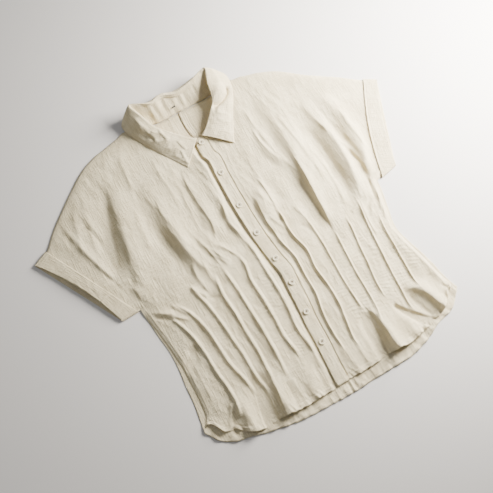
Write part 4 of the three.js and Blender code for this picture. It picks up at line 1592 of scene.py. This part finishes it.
@dataclass
class Back:
    """The back with the backs of both sleeves, and the pleat at the middle of the neck."""

    cut: Cut
    rows: int = 120
    half_columns: int = 140
    closer_columns: float = 1.35
    wall: float = 0.9
    pleat: tuple[Pair, ...] = ((-9, 622), (-12, 600), (-13, 580), (-11, 565), (-5, 548), (-2, 500))
    pleat_rise: float = 1.9
    grooves: tuple[float, ...] = (5.5, 9.5, 13.5)  # beside the pleat's edge
    groove_depth: float = 0.8
    neck_crease: Crease = Crease(((-34, 620), (-34, 600), (-36, 580), (-30, 545)), 0.7, 0.8, 6, 0, 0)
    least: float = -0.5
    most: float = 3.4

    def half(self, side: Side, height: Array) -> Grid:
        """One half's columns over the plan, from the middle outwards.

        Args:
            side: The half.
            height: The rows' heights.

        Returns:
            x and y, rows by columns.
        """
        px, py = Front(side, self.cut).places(height)
        to_neck = neck_share(height)
        middle = lerp(np.minimum(height, UNDERARM), NECK_BACK_Y, to_neck)
        px[:, -1] = np.where(height < UNDERARM, side.seam(side.back_x, height), px[:, -1])
        px[:, 0], py[:, 0] = 0, middle
        for k in (1, 2):
            py[:, k] = lerp(py[:, k], middle, to_neck)
        at = np.linspace(0, 1, self.half_columns) ** self.closer_columns * (px.shape[1] - 1)
        k = np.minimum(at.astype(int), px.shape[1] - 2)
        x, y = lerp(px[:, k], px[:, k + 1], at - k), lerp(py[:, k], py[:, k + 1], at - k)
        past_neck = np.abs(x[-1]) > abs(side.outline[3][0])
        top = np.where(past_neck, side.top_y(x[-1], first=3) - y[-1], 0)
        return x, y + top * to_neck[:, None] ** TOP_POWER

    def neck_rise(self, x: Array, y: Array) -> Array:
        """The height of the pleat and of the cloth that shows inside the neck.

        Args:
            x: The places' x.
            y: The places' y.

        Returns:
            The height at each place.
        """
        past, at_neck = x - pleat_x(y), smooth(y, 505, 545)
        rise = self.pleat_rise * smooth(past, -0.3, 0.7) * np.exp(-np.maximum(past, 0) / 11)
        rise -= 0.6 * bell(past + 1.4, 1.3)
        for place in self.grooves:
            rise -= self.groove_depth * bell(past - place, 1.0)
        inside = smooth(y, 500, 540) * (1 - smooth(np.abs(x), 76, 90))
        lumps = inside * (0.35 + Lumps.BACK_NECK.at(x, y))
        return rise * at_neck + add_all((self.neck_crease,), x, y) + lumps

    def hem_rise(self, x: Array, y: Array, above: Array) -> Array:
        """The height of the hem's turn, waves and crimp.

        Args:
            x: The places' x.
            y: The places' y.
            above: The rows' heights, one row each.

        Returns:
            The height at each place.
        """
        waves = 1.3 + Lumps.BACK_HEM_WAVES.at(x + 0.5 * above, y) + Lumps.BACK_HEM.at(x, y)
        crimp = (0.4 + 1.1 * smooth(x, 100, 170)) * Lumps.BACK_CRIMP.at(x + 0.6 * y, y)
        turned = 0.25 * (1 - smooth(above, HEM_TURN - 2, HEM_TURN))
        return (1 - smooth(above, 12, 34)) * waves + (1 - smooth(above, 8, 22)) * crimp + turned

    def build(self, linen: Material) -> Obj:
        """Builds and dresses the back.

        Args:
            linen: Its material.

        Returns:
            The piece.
        """
        height = Front(RIGHT, self.cut, rows=self.rows).heights()
        (rx, ry), (lx, ly) = (self.half(side, height) for side in SIDES)
        x, y = np.hstack([rx[:, :0:-1], lx]), np.hstack([ry[:, :0:-1], ly])
        above = height[:, None]
        hem = along(*BACK_HEM, x[0]) - y[0]
        y = y + (1 - smooth(above, 0, 9)) * Lumps.BACK_EDGE.at(x[0], 0 * x[0])
        y = y + (1 - smooth(above, 0, 60)) * hem
        low = CUFF_LIFT * np.where(x < 0, RIGHT.inside_cuff(x, y), LEFT.inside_cuff(x, y))
        rise = np.clip(self.neck_rise(x, y) + self.hem_rise(x, y, above), self.least, self.most)
        return self.cut.lay("back", linen, (join(x, y, low + self.wall + rise), join(x, y, low), join(x, y)))


def pleat_x(y: Array) -> Array:
    """The x of the edge of the pleat at the middle of the neck."""
    line = np.array(Back.pleat[::-1], float)
    return np.interp(y, line[:, 1], line[:, 0])


@dataclass
class Cuff:
    """A turned-up cuff, a flattened tube round the sleeve's end."""

    side: Side
    cut: Cut
    steps: int = 110
    depths: int = 26
    edge_roll: float = 1.2
    join_at: float = 0.69  # where along the cuff its seam is
    join_depth: float = 0.8

    def relief(self, share: Array, depth: float, bow: Array) -> Array:
        """The upper layer's lumps, its loose edge, its stitched line and its seam.

        Args:
            share: The shares of the way along the cuff.
            depth: The share of the way from the outer edge to the loose inner edge.
            bow: How far the shares are from the cuff's ends.

        Returns:
            The height at each share.
        """
        plan = self.side.cuff
        x, y = on_edge(plan.outer, share)
        lumps = plan.lumps.at(x + 40 * depth, y) + Lumps.CUFF_FINE.at(x + 30 * depth, y)
        past = share - self.join_at - 0.02 * depth
        seam = 0.5 * bell(past - 0.016, 0.01) - self.join_depth * bell(past, 0.006)
        return bow * (lumps + plan.tuck_in * smooth(depth, 0.9, 1.0) - 0.5 * bell(depth - 0.86, 0.03)) + seam

    def ring(self, depth: float, inset: float) -> Array:
        """One ring of the tube.

        Args:
            depth: The share of the way from the outer edge to the loose inner edge.
            inset: How far inside the outer face the ring lies.

        Returns:
            The ring's points.
        """
        plan = self.side.cuff
        in_end = inset / math.dist(*plan.outer)
        share = np.linspace(0, 1, self.steps)
        bow = np.sin(np.pi * share)

        def put(at: Array, z: Array, draw: Field, bends: bool) -> Array:
            """Places one layer's points.

            Args:
                at: Their shares of the way along the cuff.
                z: Their heights.
                draw: How far they are drawn in.
                bends: Whether the layer bends with the cuff.

            Returns:
                The points.
            """
            s = lerp(in_end, 1 - in_end, at)
            (ox, oy), (ix, iy) = on_edge(plan.outer, s), on_edge(plan.inner, s)
            t = depth + draw * (1 - depth) / np.hypot(ix - ox, iy - oy)
            return join(lerp(ox, ix, t) + bends * plan.bent(at, t), lerp(oy, iy, t), z)

        rounded = self.edge_roll * (1 - smooth(np.minimum(share, 1 - share), 0, 0.04)) * (inset == 0)
        top = plan.top(share) - inset + self.relief(share, depth, bow) - rounded
        upper = put(share, top, plan.draw * bow, True)
        lower = put(share[::-1], np.full(share.shape, inset), 0 * share, False)
        return np.concatenate([upper, lower])

    def build(self, linen: Material) -> Obj:
        """Builds and dresses the cuff.

        Args:
            linen: Its material.

        Returns:
            The piece.
        """
        depths = np.linspace(0, 1, self.depths)
        outer, inner = (np.stack([self.ring(depth, inset) for depth in depths]) for inset in (0.0, SKIN))
        uv = join(run_lengths(outer, 1), run_lengths(outer, 0))
        return self.cut.lay(self.side.cuff.name, linen, (outer, inner, uv), closed=True)


@dataclass
class Band:
    """The button band, with its rounded top end."""

    cut: Cut
    bottom: float = 3.0
    rows: int = 240
    columns: int = 17
    wall: float = 1.2
    seams: tuple[float, ...] = (-0.8, 0.84)  # where its stitches draw it in, across its half width
    seam_depth: float = 0.4
    curl: float = 1.5
    dent: float = 0.95  # how far each button presses in

    def build(self, linen: Material) -> Obj:
        """Builds and dresses the band.

        Args:
            linen: Its material.

        Returns:
            The piece.
        """
        crown = BAND_WIDTH / 2 - 1
        y = self.bottom + (BAND_TOP - self.bottom) * (1 - (1 - np.linspace(0, 1, self.rows)) ** 1.25)
        down = np.minimum(BAND_TOP - y, crown)
        half = np.where(down < crown, np.maximum(np.sqrt(crown**2 - (crown - down) ** 2), 4), BAND_WIDTH / 2)
        across = np.sin(np.linspace(-1, 1, self.columns) * np.pi / 2)
        x = band_x(y)[:, None] + half[:, None] * across
        y = np.broadcast_to(y[:, None], x.shape)
        edge = np.abs(across)
        z = band_top(y) + 0.45 - 0.6 * edge**8 + Lumps.BAND.at(x, y) + Lumps.BAND_FINE.at(x, y)
        z += 0.3 * edge**2 * puckers(x, y, 0.5, Lumps.BAND_DRIFT, Lumps.BAND_PATCHES)
        for place in self.seams:
            z -= self.seam_depth * bell(across - place, 0.045)
        z += (self.curl * between(y, *BAND_CURL) + 0.4) * smooth(-across, 0.45, 1.0)
        for place in BUTTON_Y:
            z -= self.dent * bell(y - place, 9) * bell(x - band_x(place), 8)
        form = join(x, y, z), join(x, y, z - self.wall), join(x, y)
        return self.cut.lay("button_band", linen, form, "front_right_cloth")


# ---- the collar ----

# The gathers across the stand at the back of the neck: place, rise and spread.
GATHERS = (
    (-62, -1.0, 4), (-54, 1.8, 3.5), (-47, -2.0, 3), (-38, 2.6, 5), (-28, -1.5, 2.5), (-22, 1.7, 3),
    (-14, -0.9, 3), (-6, 1.1, 3.5), (3, -1.2, 2.4), (9, 1.4, 3), (17, -0.8, 3), (25, 1.0, 4),
    (36, -1.1, 3.5), (45, 1.2, 4), (58, -0.9, 4),
)

# The collar's sections: x and y at the neck seam, place of the fold, x and y at the edge, and bow.
COLLAR_ROWS = (
    (-12, 544, -7, 547, 11, -49, 505, 2),
    (-32, 551, -22, 556, 14, -66, 532, 3),
    (-58, 566, -47, 581, 18, -84, 560, 5),
    (-76, 588, -69, 606, 23, -103, 593, 6),
    (-83, 609, -82, 637, 31, -119, 632, 5),
    (-79, 621, -90, 664, 37, -112, 656, 4),
    (-52, 618.6, -54, 650, 33, -58, 664, 3),
    (-25, 618.6, -27, 655, 31, -27, 669, 3),
    (0, 618.6, -2, 647, 28, 0, 663, 3),
    (26, 618.6, 22, 649, 29, 26, 665, 3),
    (52, 618.6, 46, 654, 33, 56, 668, 3),
    (76, 620, 75, 661, 37, 106, 650, 5),
    (81, 609, 67, 632, 31, 112, 628, 7),
    (74, 588, 60, 600, 23, 103, 598, 7),
    (56, 566, 40, 576, 18, 82, 561, 5),
    (34, 551, 21, 557, 14, 66, 531, 3),
    (16, 544, 7, 547, 12, 53, 505, 2),
)


@dataclass
class Collar:
    """The stand, and the leaf that turns down over it in one soft roll."""

    leaf_cut: Cut
    stand_cut: Cut
    section_steps: int = 14
    leaf_columns: int = 38
    roll_columns: int = 7
    stand_columns: int = 14
    roll: float = 2.0
    tail: float = 6.0
    wall: float = 1.1
    edge_wall: float = 0.45
    stand_wall: float = 1.0
    stand_drop: float = 1.2  # how far the stand's top is below the fold
    crease_rise: float = 1.5
    stitched_at: float = 5.0  # from the leaf's edge
    stitch_depth: float = 0.5
    sections: dict[str, Array] = field(default_factory=dict)

    def leaf_level(self, x: Array, y: Array) -> Array:
        """The level on which the leaf lies.

        Args:
            x: The places' x.
            y: The places' y.

        Returns:
            The level at each place.
        """
        levels = []
        for side in SIDES:
            run = side.shoulder_run()
            run = run[np.argsort(np.abs(run[:, 0]))]
            past = y - along(np.abs(run[:, 0]), run[:, 1], np.abs(x))
            levels.append(lerp(front_level(side, x, y) + LEAF_CLEAR, SEAM_GAP, smooth(past, 2, 14)))
        return np.where(x < 0, *levels)

    def stand_level(self, x: Array, y: Array) -> Array:
        """The level of the stand's lower edge.

        Args:
            x: The places' x.
            y: The places' y.

        Returns:
            The level at each place.
        """
        on_back = np.where(y > 612, smooth(80 - np.abs(x), 0, 18), 0)
        over = np.where(np.abs(x - band_x(y)) < BAND_WIDTH / 2 + 4, band_top(y), 0)
        fronts = np.where(x < 0, front_level(RIGHT, x, y), front_level(LEFT, x, y))
        return lerp(np.maximum(fronts, over) + LEAF_CLEAR, BACK_TOP, on_back)

    def lay_out(self) -> None:
        """Works out the collar's sections from its table."""
        laid = smooth_run(COLLAR_ROWS, self.section_steps).T
        (seam_x, seam_y), (edge_x, edge_y) = laid[:2], laid[5:7]
        self.sections = {
            "seam": join(seam_x, seam_y, self.stand_level(seam_x, seam_y)),
            "fold": join(*laid[2:5]),
            "edge": join(edge_x, edge_y, self.leaf_level(edge_x, edge_y)),
            "arch": laid[7],
        }

    def leaf_points(self) -> Array:
        """The leaf's inner face, from inside the roll out to the edge.

        Returns:
            Its points, sections by columns by three.
        """
        seam, top, edge, arch = self.sections.values()
        way = edge[:, :2] - top[:, :2]
        wide = np.linalg.norm(way, axis=1)
        inward = np.column_stack([-way / wide[:, None], np.zeros(len(way))])
        up = np.array([0.0, 0.0, 1.0])
        slope = np.arctan2(top[:, 2] - edge[:, 2] - arch * np.pi, wide)
        centre = top - self.roll * up
        down = (seam - top) / np.linalg.norm(seam - top, axis=1, keepdims=True)
        columns = [centre + self.roll * 0.6 * inward + back * down for back in (self.tail, self.tail / 2)]
        for share in np.linspace(0, 1, self.roll_columns):
            angle = lerp(0.15, np.pi / 2 + slope, share)[:, None]
            columns.append(centre + self.roll * (np.cos(angle) * inward + np.sin(angle) * up))
        start = columns[-1]
        for t in np.linspace(0, 1, self.leaf_columns)[1:]:
            columns.append(lerp(start, edge, t) + (arch * np.sin(np.pi * t))[:, None] * up)
        return np.stack(columns, axis=1)

    def build_leaf(self, linen: Material) -> Obj:
        """Builds and dresses the turned-down leaf.

        Args:
            linen: Its material.

        Returns:
            The piece.
        """
        base = self.leaf_points()
        x, y = base[..., 0], base[..., 1]
        to_edge = run_lengths(base[:, ::-1], 1)[:, ::-1]
        free = np.ones(base.shape[1])
        free[: 2 + self.roll_columns] = 0.25
        rise = self.crease_rise * add_all(COLLAR_CREASES, x, y)
        lumps = Lumps.LEAF.at(x, y) + Lumps.LEAF_FINE.at(x, y)
        base[..., 2] += (rise + lumps - self.stitch_depth * bell(to_edge - self.stitched_at, 1.1)) * free
        base[..., 2] = np.maximum(base[..., 2], self.leaf_level(x, y) + 0.05)
        wall = lerp(self.edge_wall, self.wall, smooth(to_edge, 0, 4))[..., None]
        outer = base + wall * grid_normals(base)
        outer[..., 2] = np.maximum(outer[..., 2], base[..., 2] + 0.15)
        uv = join(run_lengths(base, 0)[:, :1] + 0 * x, run_lengths(base, 1))
        return self.leaf_cut.lay("collar", linen, (outer, base, uv))

    def build_stand(self, linen: Material) -> Obj:
        """Builds and dresses the stand.

        Args:
            linen: Its material.

        Returns:
            The piece.
        """
        seam, top = self.sections["seam"], self.sections["fold"] - np.array([0, 0, self.stand_drop])
        shares = np.linspace(0, 1, self.stand_columns)
        base = np.stack([lerp(seam, top, t) for t in shares], axis=1)
        normals = grid_normals(base)
        x, y, z = base[..., 0], base[..., 1], base[..., 2]
        slid = x + 0.3 * (z - 12) * Lumps.STAND_DRIFT.at(x, y)
        gathers = Lumps.STAND_FINE.at(x, y)
        for place, rise, wide in GATHERS:
            gathers += 0.45 * rise * bell(slid - place, wide)
        gathers *= smooth(y, 612, 622) * smooth(84 - np.abs(x), 0, 14) * (0.8 * np.sin(np.pi * shares) + 0.25)
        base = base + normals * gathers[..., None]
        base = base + normals * Lumps.STAND.at(x, base[..., 2])[..., None]
        uv = join(run_lengths(base, 0)[:, :1] + 0 * x, run_lengths(base, 1))
        outer = base + self.stand_wall * grid_normals(base)
        return self.stand_cut.lay("collar_stand", linen, (outer, base, uv))


# ---- buttons and sewing ----


@dataclass
class Buttons:
    """The shirt buttons, each with a rim, a sunk middle, four holes and its thread."""

    radius: float = 5.7
    thick: float = 2.2
    rim: float = 1.7
    sink: float = 0.5
    hole: float = 0.75
    hole_offset: float = 0.98
    sides: int = 40
    hole_sides: int = 14
    edge: float = 0.32
    lift: float = 0.1  # over the lowest point of its solid
    turn: float = 17.0  # between one button and the next, in degrees
    strand: Triple = (1.5, 0.42, 0.36)
    strand_offset: float = 0.6
    strand_lift: float = 0.4

    def template(self) -> Obj:
        """Models one button at the origin.

        Returns:
            The button.
        """
        middle = self.thick / 2 * MM
        deselect()
        bpy.ops.mesh.primitive_cylinder_add(
            vertices=self.sides, radius=self.radius * MM, depth=self.thick * MM, location=(0, 0, middle)
        )
        obj = bpy.context.active_object
        bpy.ops.object.transform_apply(location=True, rotation=True, scale=True)
        bpy.ops.object.mode_set(mode="EDIT")
        bpy.ops.mesh.select_mode(type="FACE")
        bpy.ops.mesh.select_all(action="DESELECT")
        bpy.ops.object.mode_set(mode="OBJECT")
        for face in obj.data.polygons:
            face.select = face.normal.z > 0.9
        bpy.ops.object.mode_set(mode="EDIT")
        for thickness, depth in ((self.rim, 0), (0.3, -self.sink), (0.7, 0), (0.4, 0.3)):
            bpy.ops.mesh.inset(thickness=thickness * MM, depth=depth * MM)
        bpy.ops.object.mode_set(mode="OBJECT")
        away = self.hole_offset * math.sqrt(2) * MM
        for turn in (0.25, 0.75, 1.25, 1.75):
            place = (math.cos(turn * math.pi) * away, math.sin(turn * math.pi) * away, middle)
            deselect()
            bpy.ops.mesh.primitive_cylinder_add(
                vertices=self.hole_sides, radius=self.hole * MM, depth=3 * self.thick * MM, location=place
            )
            drill = bpy.context.active_object
            cut = obj.modifiers.new("hole", "BOOLEAN")
            cut.object, cut.solver = drill, "EXACT"
            apply_modifiers(obj)
            bpy.data.objects.remove(drill)
        bevel = obj.modifiers.new("edge", "BEVEL")
        bevel.width, bevel.segments, bevel.angle_limit = self.edge * MM, 3, math.radians(40)
        apply_modifiers(obj)
        bpy.ops.object.shade_smooth_by_angle(angle=math.radians(35))
        self.mark_painted_well_shade(obj.data)
        return obj

    def mark_painted_well_shade(self, mesh: Mesh) -> None:
        """Marks where shade is painted: on the sunk middle, and more strongly on its holes and what is round
        them.

        Args:
            mesh: The button's mesh.
        """
        co = np.empty(3 * len(mesh.vertices))
        mesh.vertices.foreach_get("co", co)
        co = co.reshape(-1, 3) / MM
        reach = np.hypot(co[:, 0], co[:, 1])
        inside = reach < self.radius - self.rim - 0.1
        deep = co[:, 2] < self.thick - self.sink + 0.1
        near_hole = reach < self.hole_offset + self.hole * 1.7
        # painted shade: 0.45 on the sunk middle, and up to 1 round the holes
        value = np.where(inside & deep, 0.45, 0) + np.where(near_hole, 0.55, 0)
        layer = mesh.attributes.new(PAINTED_SHADE_NAME, "FLOAT", "POINT")
        layer.data.foreach_set("value", np.minimum(value, 1).astype(np.float32))

    def build(self, shell: Material, thread: Material) -> None:
        """Builds and dresses the buttons.

        Args:
            shell: Their material.
            thread: Their thread's material.
        """
        template = self.template()
        strands = []
        for k, y in enumerate(BUTTON_Y, start=1):
            low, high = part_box(f"button_{k}")
            slope = float(band_top(y + self.radius) - band_top(y - self.radius)) / (2 * self.radius)
            centre = Vector(((low[0] + high[0]) / 2, (low[1] + high[1]) / 2, low[2] + self.lift * MM))
            spin = Matrix.Rotation(math.radians(self.turn * k), 4, "Z")
            tilt = Matrix.Rotation(math.atan(slope), 4, "X")
            place = Matrix.Translation(centre) @ tilt @ spin
            obj = link(f"shirt_button_{k}", template.data.copy())
            obj.data.transform(place)
            dress(obj, shell, "shell_button", f"button_{k}")
            for way in (-1, 1):
                up = self.thick - self.sink + self.strand_lift
                strands.append(place @ Matrix.Translation((0, way * self.strand_offset * MM, up * MM)))
        bpy.data.objects.remove(template)
        dress(copies("button_threads", strand(8, 6, self.strand), strands), thread, "")


@dataclass
class Sewing:
    """The rows of machine stitches, each stitch a short raised strand."""

    pitch: float = 3.0
    length: float = 2.1
    width: float = 0.34
    flat: float = 0.8
    lift: float = 0.12

    def row(self, points: Array) -> list[Matrix]:
        """Lays stitches along a line.

        Args:
            points: The line's plan points, in millimetres, at the cloth's level.

        Returns:
            The place of each stitch.
        """
        step = np.linalg.norm(np.diff(points, axis=0), axis=1)
        at = np.concatenate([[0], np.cumsum(step)])
        places = []
        for middle in np.arange(self.pitch, at[-1] - self.pitch / 2, self.pitch):
            start, end = (np.array([np.interp(middle + d, at, c) for c in points.T]) for d in (-1.0, 1.0))
            way = Vector(to_frame(end) - to_frame(start)).normalized()
            turn = way.to_track_quat("X", "Z").to_matrix().to_4x4()
            centre = Vector(to_frame((start + end) / 2 + np.array([0, 0, self.lift])))
            places.append(Matrix.Translation(centre) @ turn)
        return places

    def build(self, name: str, lines: list[Array], thread: Material) -> Obj:
        """Builds and dresses the stitches of several lines.

        Args:
            name: The piece's name.
            lines: The lines' plan points.
            thread: Their material.

        Returns:
            The piece.
        """
        places = [place for line in lines for place in self.row(line)]
        size = (self.length / 2, self.width, self.width * self.flat)
        obj = copies(name, strand(6, 4, size), places)
        dress(obj, thread, "")
        return obj


def hem_stitches() -> list[Array]:
    """The rows of stitches along both fronts' hems, and along the back's hem where it shows.

    Returns:
        The lines.
    """
    lines, above = [], HEM_TURN - 1.6
    for side, (start, stop) in zip(SIDES, ((-248, -16), (16, 248))):
        x = np.linspace(start, stop, 200)
        y = along(*FRONT_HEM, x) + above
        level = front_level(side, x, y) + hem_shape(x, y, np.full(x.shape, above))
        lines.append(join(x, y, np.maximum(level, BACK_TOP + SKIN) + 0.15))
    x = np.linspace(-240, 240, 240)
    lines.append(join(x, along(*BACK_HEM, x) + HEM_TURN - 2, np.full(x.shape, 1.6)))
    return lines


def neck_stitches() -> list[Array]:
    """The two rows of stitches down the pleat at the middle of the neck."""
    y = np.linspace(552, 616, 40)
    return [join(pleat_x(y) + off, y, np.full(y.shape, level)) for off, level in ((6.5, 1.9), (11.5, 1.6))]


def pleat_shadow_and_thread_end() -> list[Array]:
    """A row of brown stitches along the edge of the pleat, which paints the pleat's shadow, and the loose
    thread end beside its top.

    Returns:
        The lines.
    """
    y = np.linspace(549, 619, 40)
    # painted shadow: a dark brown row just beside the pleat's edge, where the pleat's shade falls
    edge = join(pleat_x(y) - 0.7, y, np.full(y.shape, 1.7))
    return [edge, join(np.linspace(-9, 7, 8), np.linspace(617, 622, 8), np.full(8, 3.4))]


def neck_tack() -> list[Array]:
    """The few dark stitches left on the stand at the middle of the back."""
    x = np.linspace(-17.5, -9.5, 4)
    return [join(x, 628.6 + k * 0.7 + 0.1 * x, np.full(x.shape, 13.0)) for k in range(4)]


def band_stitches() -> list[Array]:
    """The rows of stitches down both edges of the button band."""
    y = np.linspace(12, 536, 300)
    return [join(band_x(y) + off, y, band_top(y) + 0.05) for off in (-9.6, 9.6)]


# ---- the studio ----


def look(obj: Obj, place: Vector, way: Vector) -> None:
    """Places a camera or a light, and turns it to look some way.

    Args:
        obj: The camera or light.
        place: Where it is.
        way: Where it looks.
    """
    obj.location = place
    obj.rotation_mode = "QUATERNION"
    obj.rotation_quaternion = way.to_track_quat("-Z", "Y")


@dataclass(frozen=True)
class Lamp:
    """A soft square light, its side in metres, its power in watts and its beam in degrees."""

    name: str
    place: Triple
    aim: Triple
    size: float
    power: float
    colour: Triple
    spread: float = 180

    def build(self) -> None:
        """Builds the light."""
        data = bpy.data.lights.new(self.name, "AREA")
        data.shape, data.size, data.energy, data.color = "SQUARE", self.size, self.power, self.colour
        data.spread = math.radians(self.spread)
        lamp = link(self.name, data)
        lamp.visible_camera = False
        look(lamp, Vector(self.place), Vector(self.aim) - Vector(self.place))


@dataclass
class Studio:
    """The floor, the soft light from the wearer's left, and the camera."""

    azimuth: float = -30.0
    elevation: float = 73.0
    distance: float = 1.75
    lens: float = 67.97
    sensor: float = 36.0
    target: Triple = (-0.0176, -0.01186, 0.0)
    floor_size: float = 9.0
    lamps: tuple[Lamp, ...] = (
        Lamp("key", (0.97, 0.13, 0.46), (0.58, 0.11, 0.0), 0.6, 40, (1.0, 0.97, 0.915), 112),
        Lamp("fill", (-0.7, 0.5, 1.6), (0.0, 0.0, 0.0), 1.6, 4, (0.97, 0.98, 1.0)),
    )
    sky: Colour = (0.94, 0.965, 1.0, 1)
    sky_strength: float = 0.21

    def camera(self) -> None:
        """Makes the camera."""
        a, e = math.radians(self.azimuth), math.radians(self.elevation)
        back = Vector((math.sin(a) * math.cos(e), -math.cos(a) * math.cos(e), math.sin(e)))
        data = bpy.data.cameras.new("camera")
        data.lens, data.sensor_width = self.lens, self.sensor
        cam = link("camera", data)
        look(cam, Vector(self.target) + back * self.distance, -back)
        bpy.context.scene.camera = cam

    def floor(self) -> None:
        """Makes the floor."""
        deselect()
        bpy.ops.mesh.primitive_plane_add(size=self.floor_size, location=(0, 0, 0))
        obj = bpy.context.active_object
        obj.name = "floor"
        obj.data.materials.append(FloorFinish().build())

    def build(self) -> None:
        """Builds the studio."""
        self.camera()
        self.floor()
        for lamp in self.lamps:
            lamp.build()
        world = bpy.data.worlds.new("studio")
        world.use_nodes = True
        background = next(n for n in world.node_tree.nodes if n.type == "BACKGROUND")
        feed(world.node_tree, background, Color=self.sky, Strength=self.sky_strength)
        bpy.context.scene.world = world


# ---- assembly ----


def main() -> None:
    """Builds the blouse in order, and reports each piece."""
    logging.basicConfig(level=logging.INFO, format="%(message)s")
    Studio().build()
    linen, thread, shell = LinenFinish().build(), ThreadFinish().build(), ShellFinish().build()
    dark = ThreadFinish("dark_thread", (0.02, 0.02, 0.025, 1), (0.01, 0.01, 0.012, 1)).build()
    # brown thread for the buttons, and for the painted shadow along the pleat's edge
    brown_thread_and_pleat_shade = ThreadFinish("brown_thread_and_painted_pleat_shade", (0.16, 0.10, 0.07, 1), (0.09, 0.055, 0.04, 1)).build()
    collar = Collar(Cut(0.56, 0.075, 0.032, "folded"), Cut(0.42, 0.04, 0.0135, "folded"))
    collar.lay_out()
    made = [
        Back(Cut(0.78, 0.66, 0.36)).build(linen),
        Front(RIGHT, Cut(0.42, 0.66, 0.20)).build(linen),
        Front(LEFT, Cut(0.42, 0.66, 0.19)).build(linen),
        Cuff(RIGHT, Cut(0.40, 0.034, 0.0125, "folded")).build(linen),
        Cuff(LEFT, Cut(0.39, 0.031, 0.011, "folded")).build(linen),
        Band(Cut(0.023, 0.55, 0.0125)).build(linen),
        collar.build_stand(linen),
        collar.build_leaf(linen),
        Sewing().build("hem_stitches", hem_stitches(), thread),
        Sewing().build("band_stitches", band_stitches(), thread),
        Sewing().build("neck_stitches", neck_stitches(), thread),
        Sewing(pitch=1.6, length=3.2, width=0.5).build("neck_tack", neck_tack(), dark),
        # painted shadow along the pleat's edge, in brown stitches, with the loose thread end
        Sewing(pitch=1.5, length=2.2, width=0.4).build("pleat_shadow_and_thread_end", pleat_shadow_and_thread_end(), brown_thread_and_pleat_shade),
    ]
    Buttons().build(shell, brown_thread_and_pleat_shade)
    for obj in made:
        log.info("%s: %d faces", obj.name, len(obj.data.polygons))


if __name__ == "__main__":
    main()
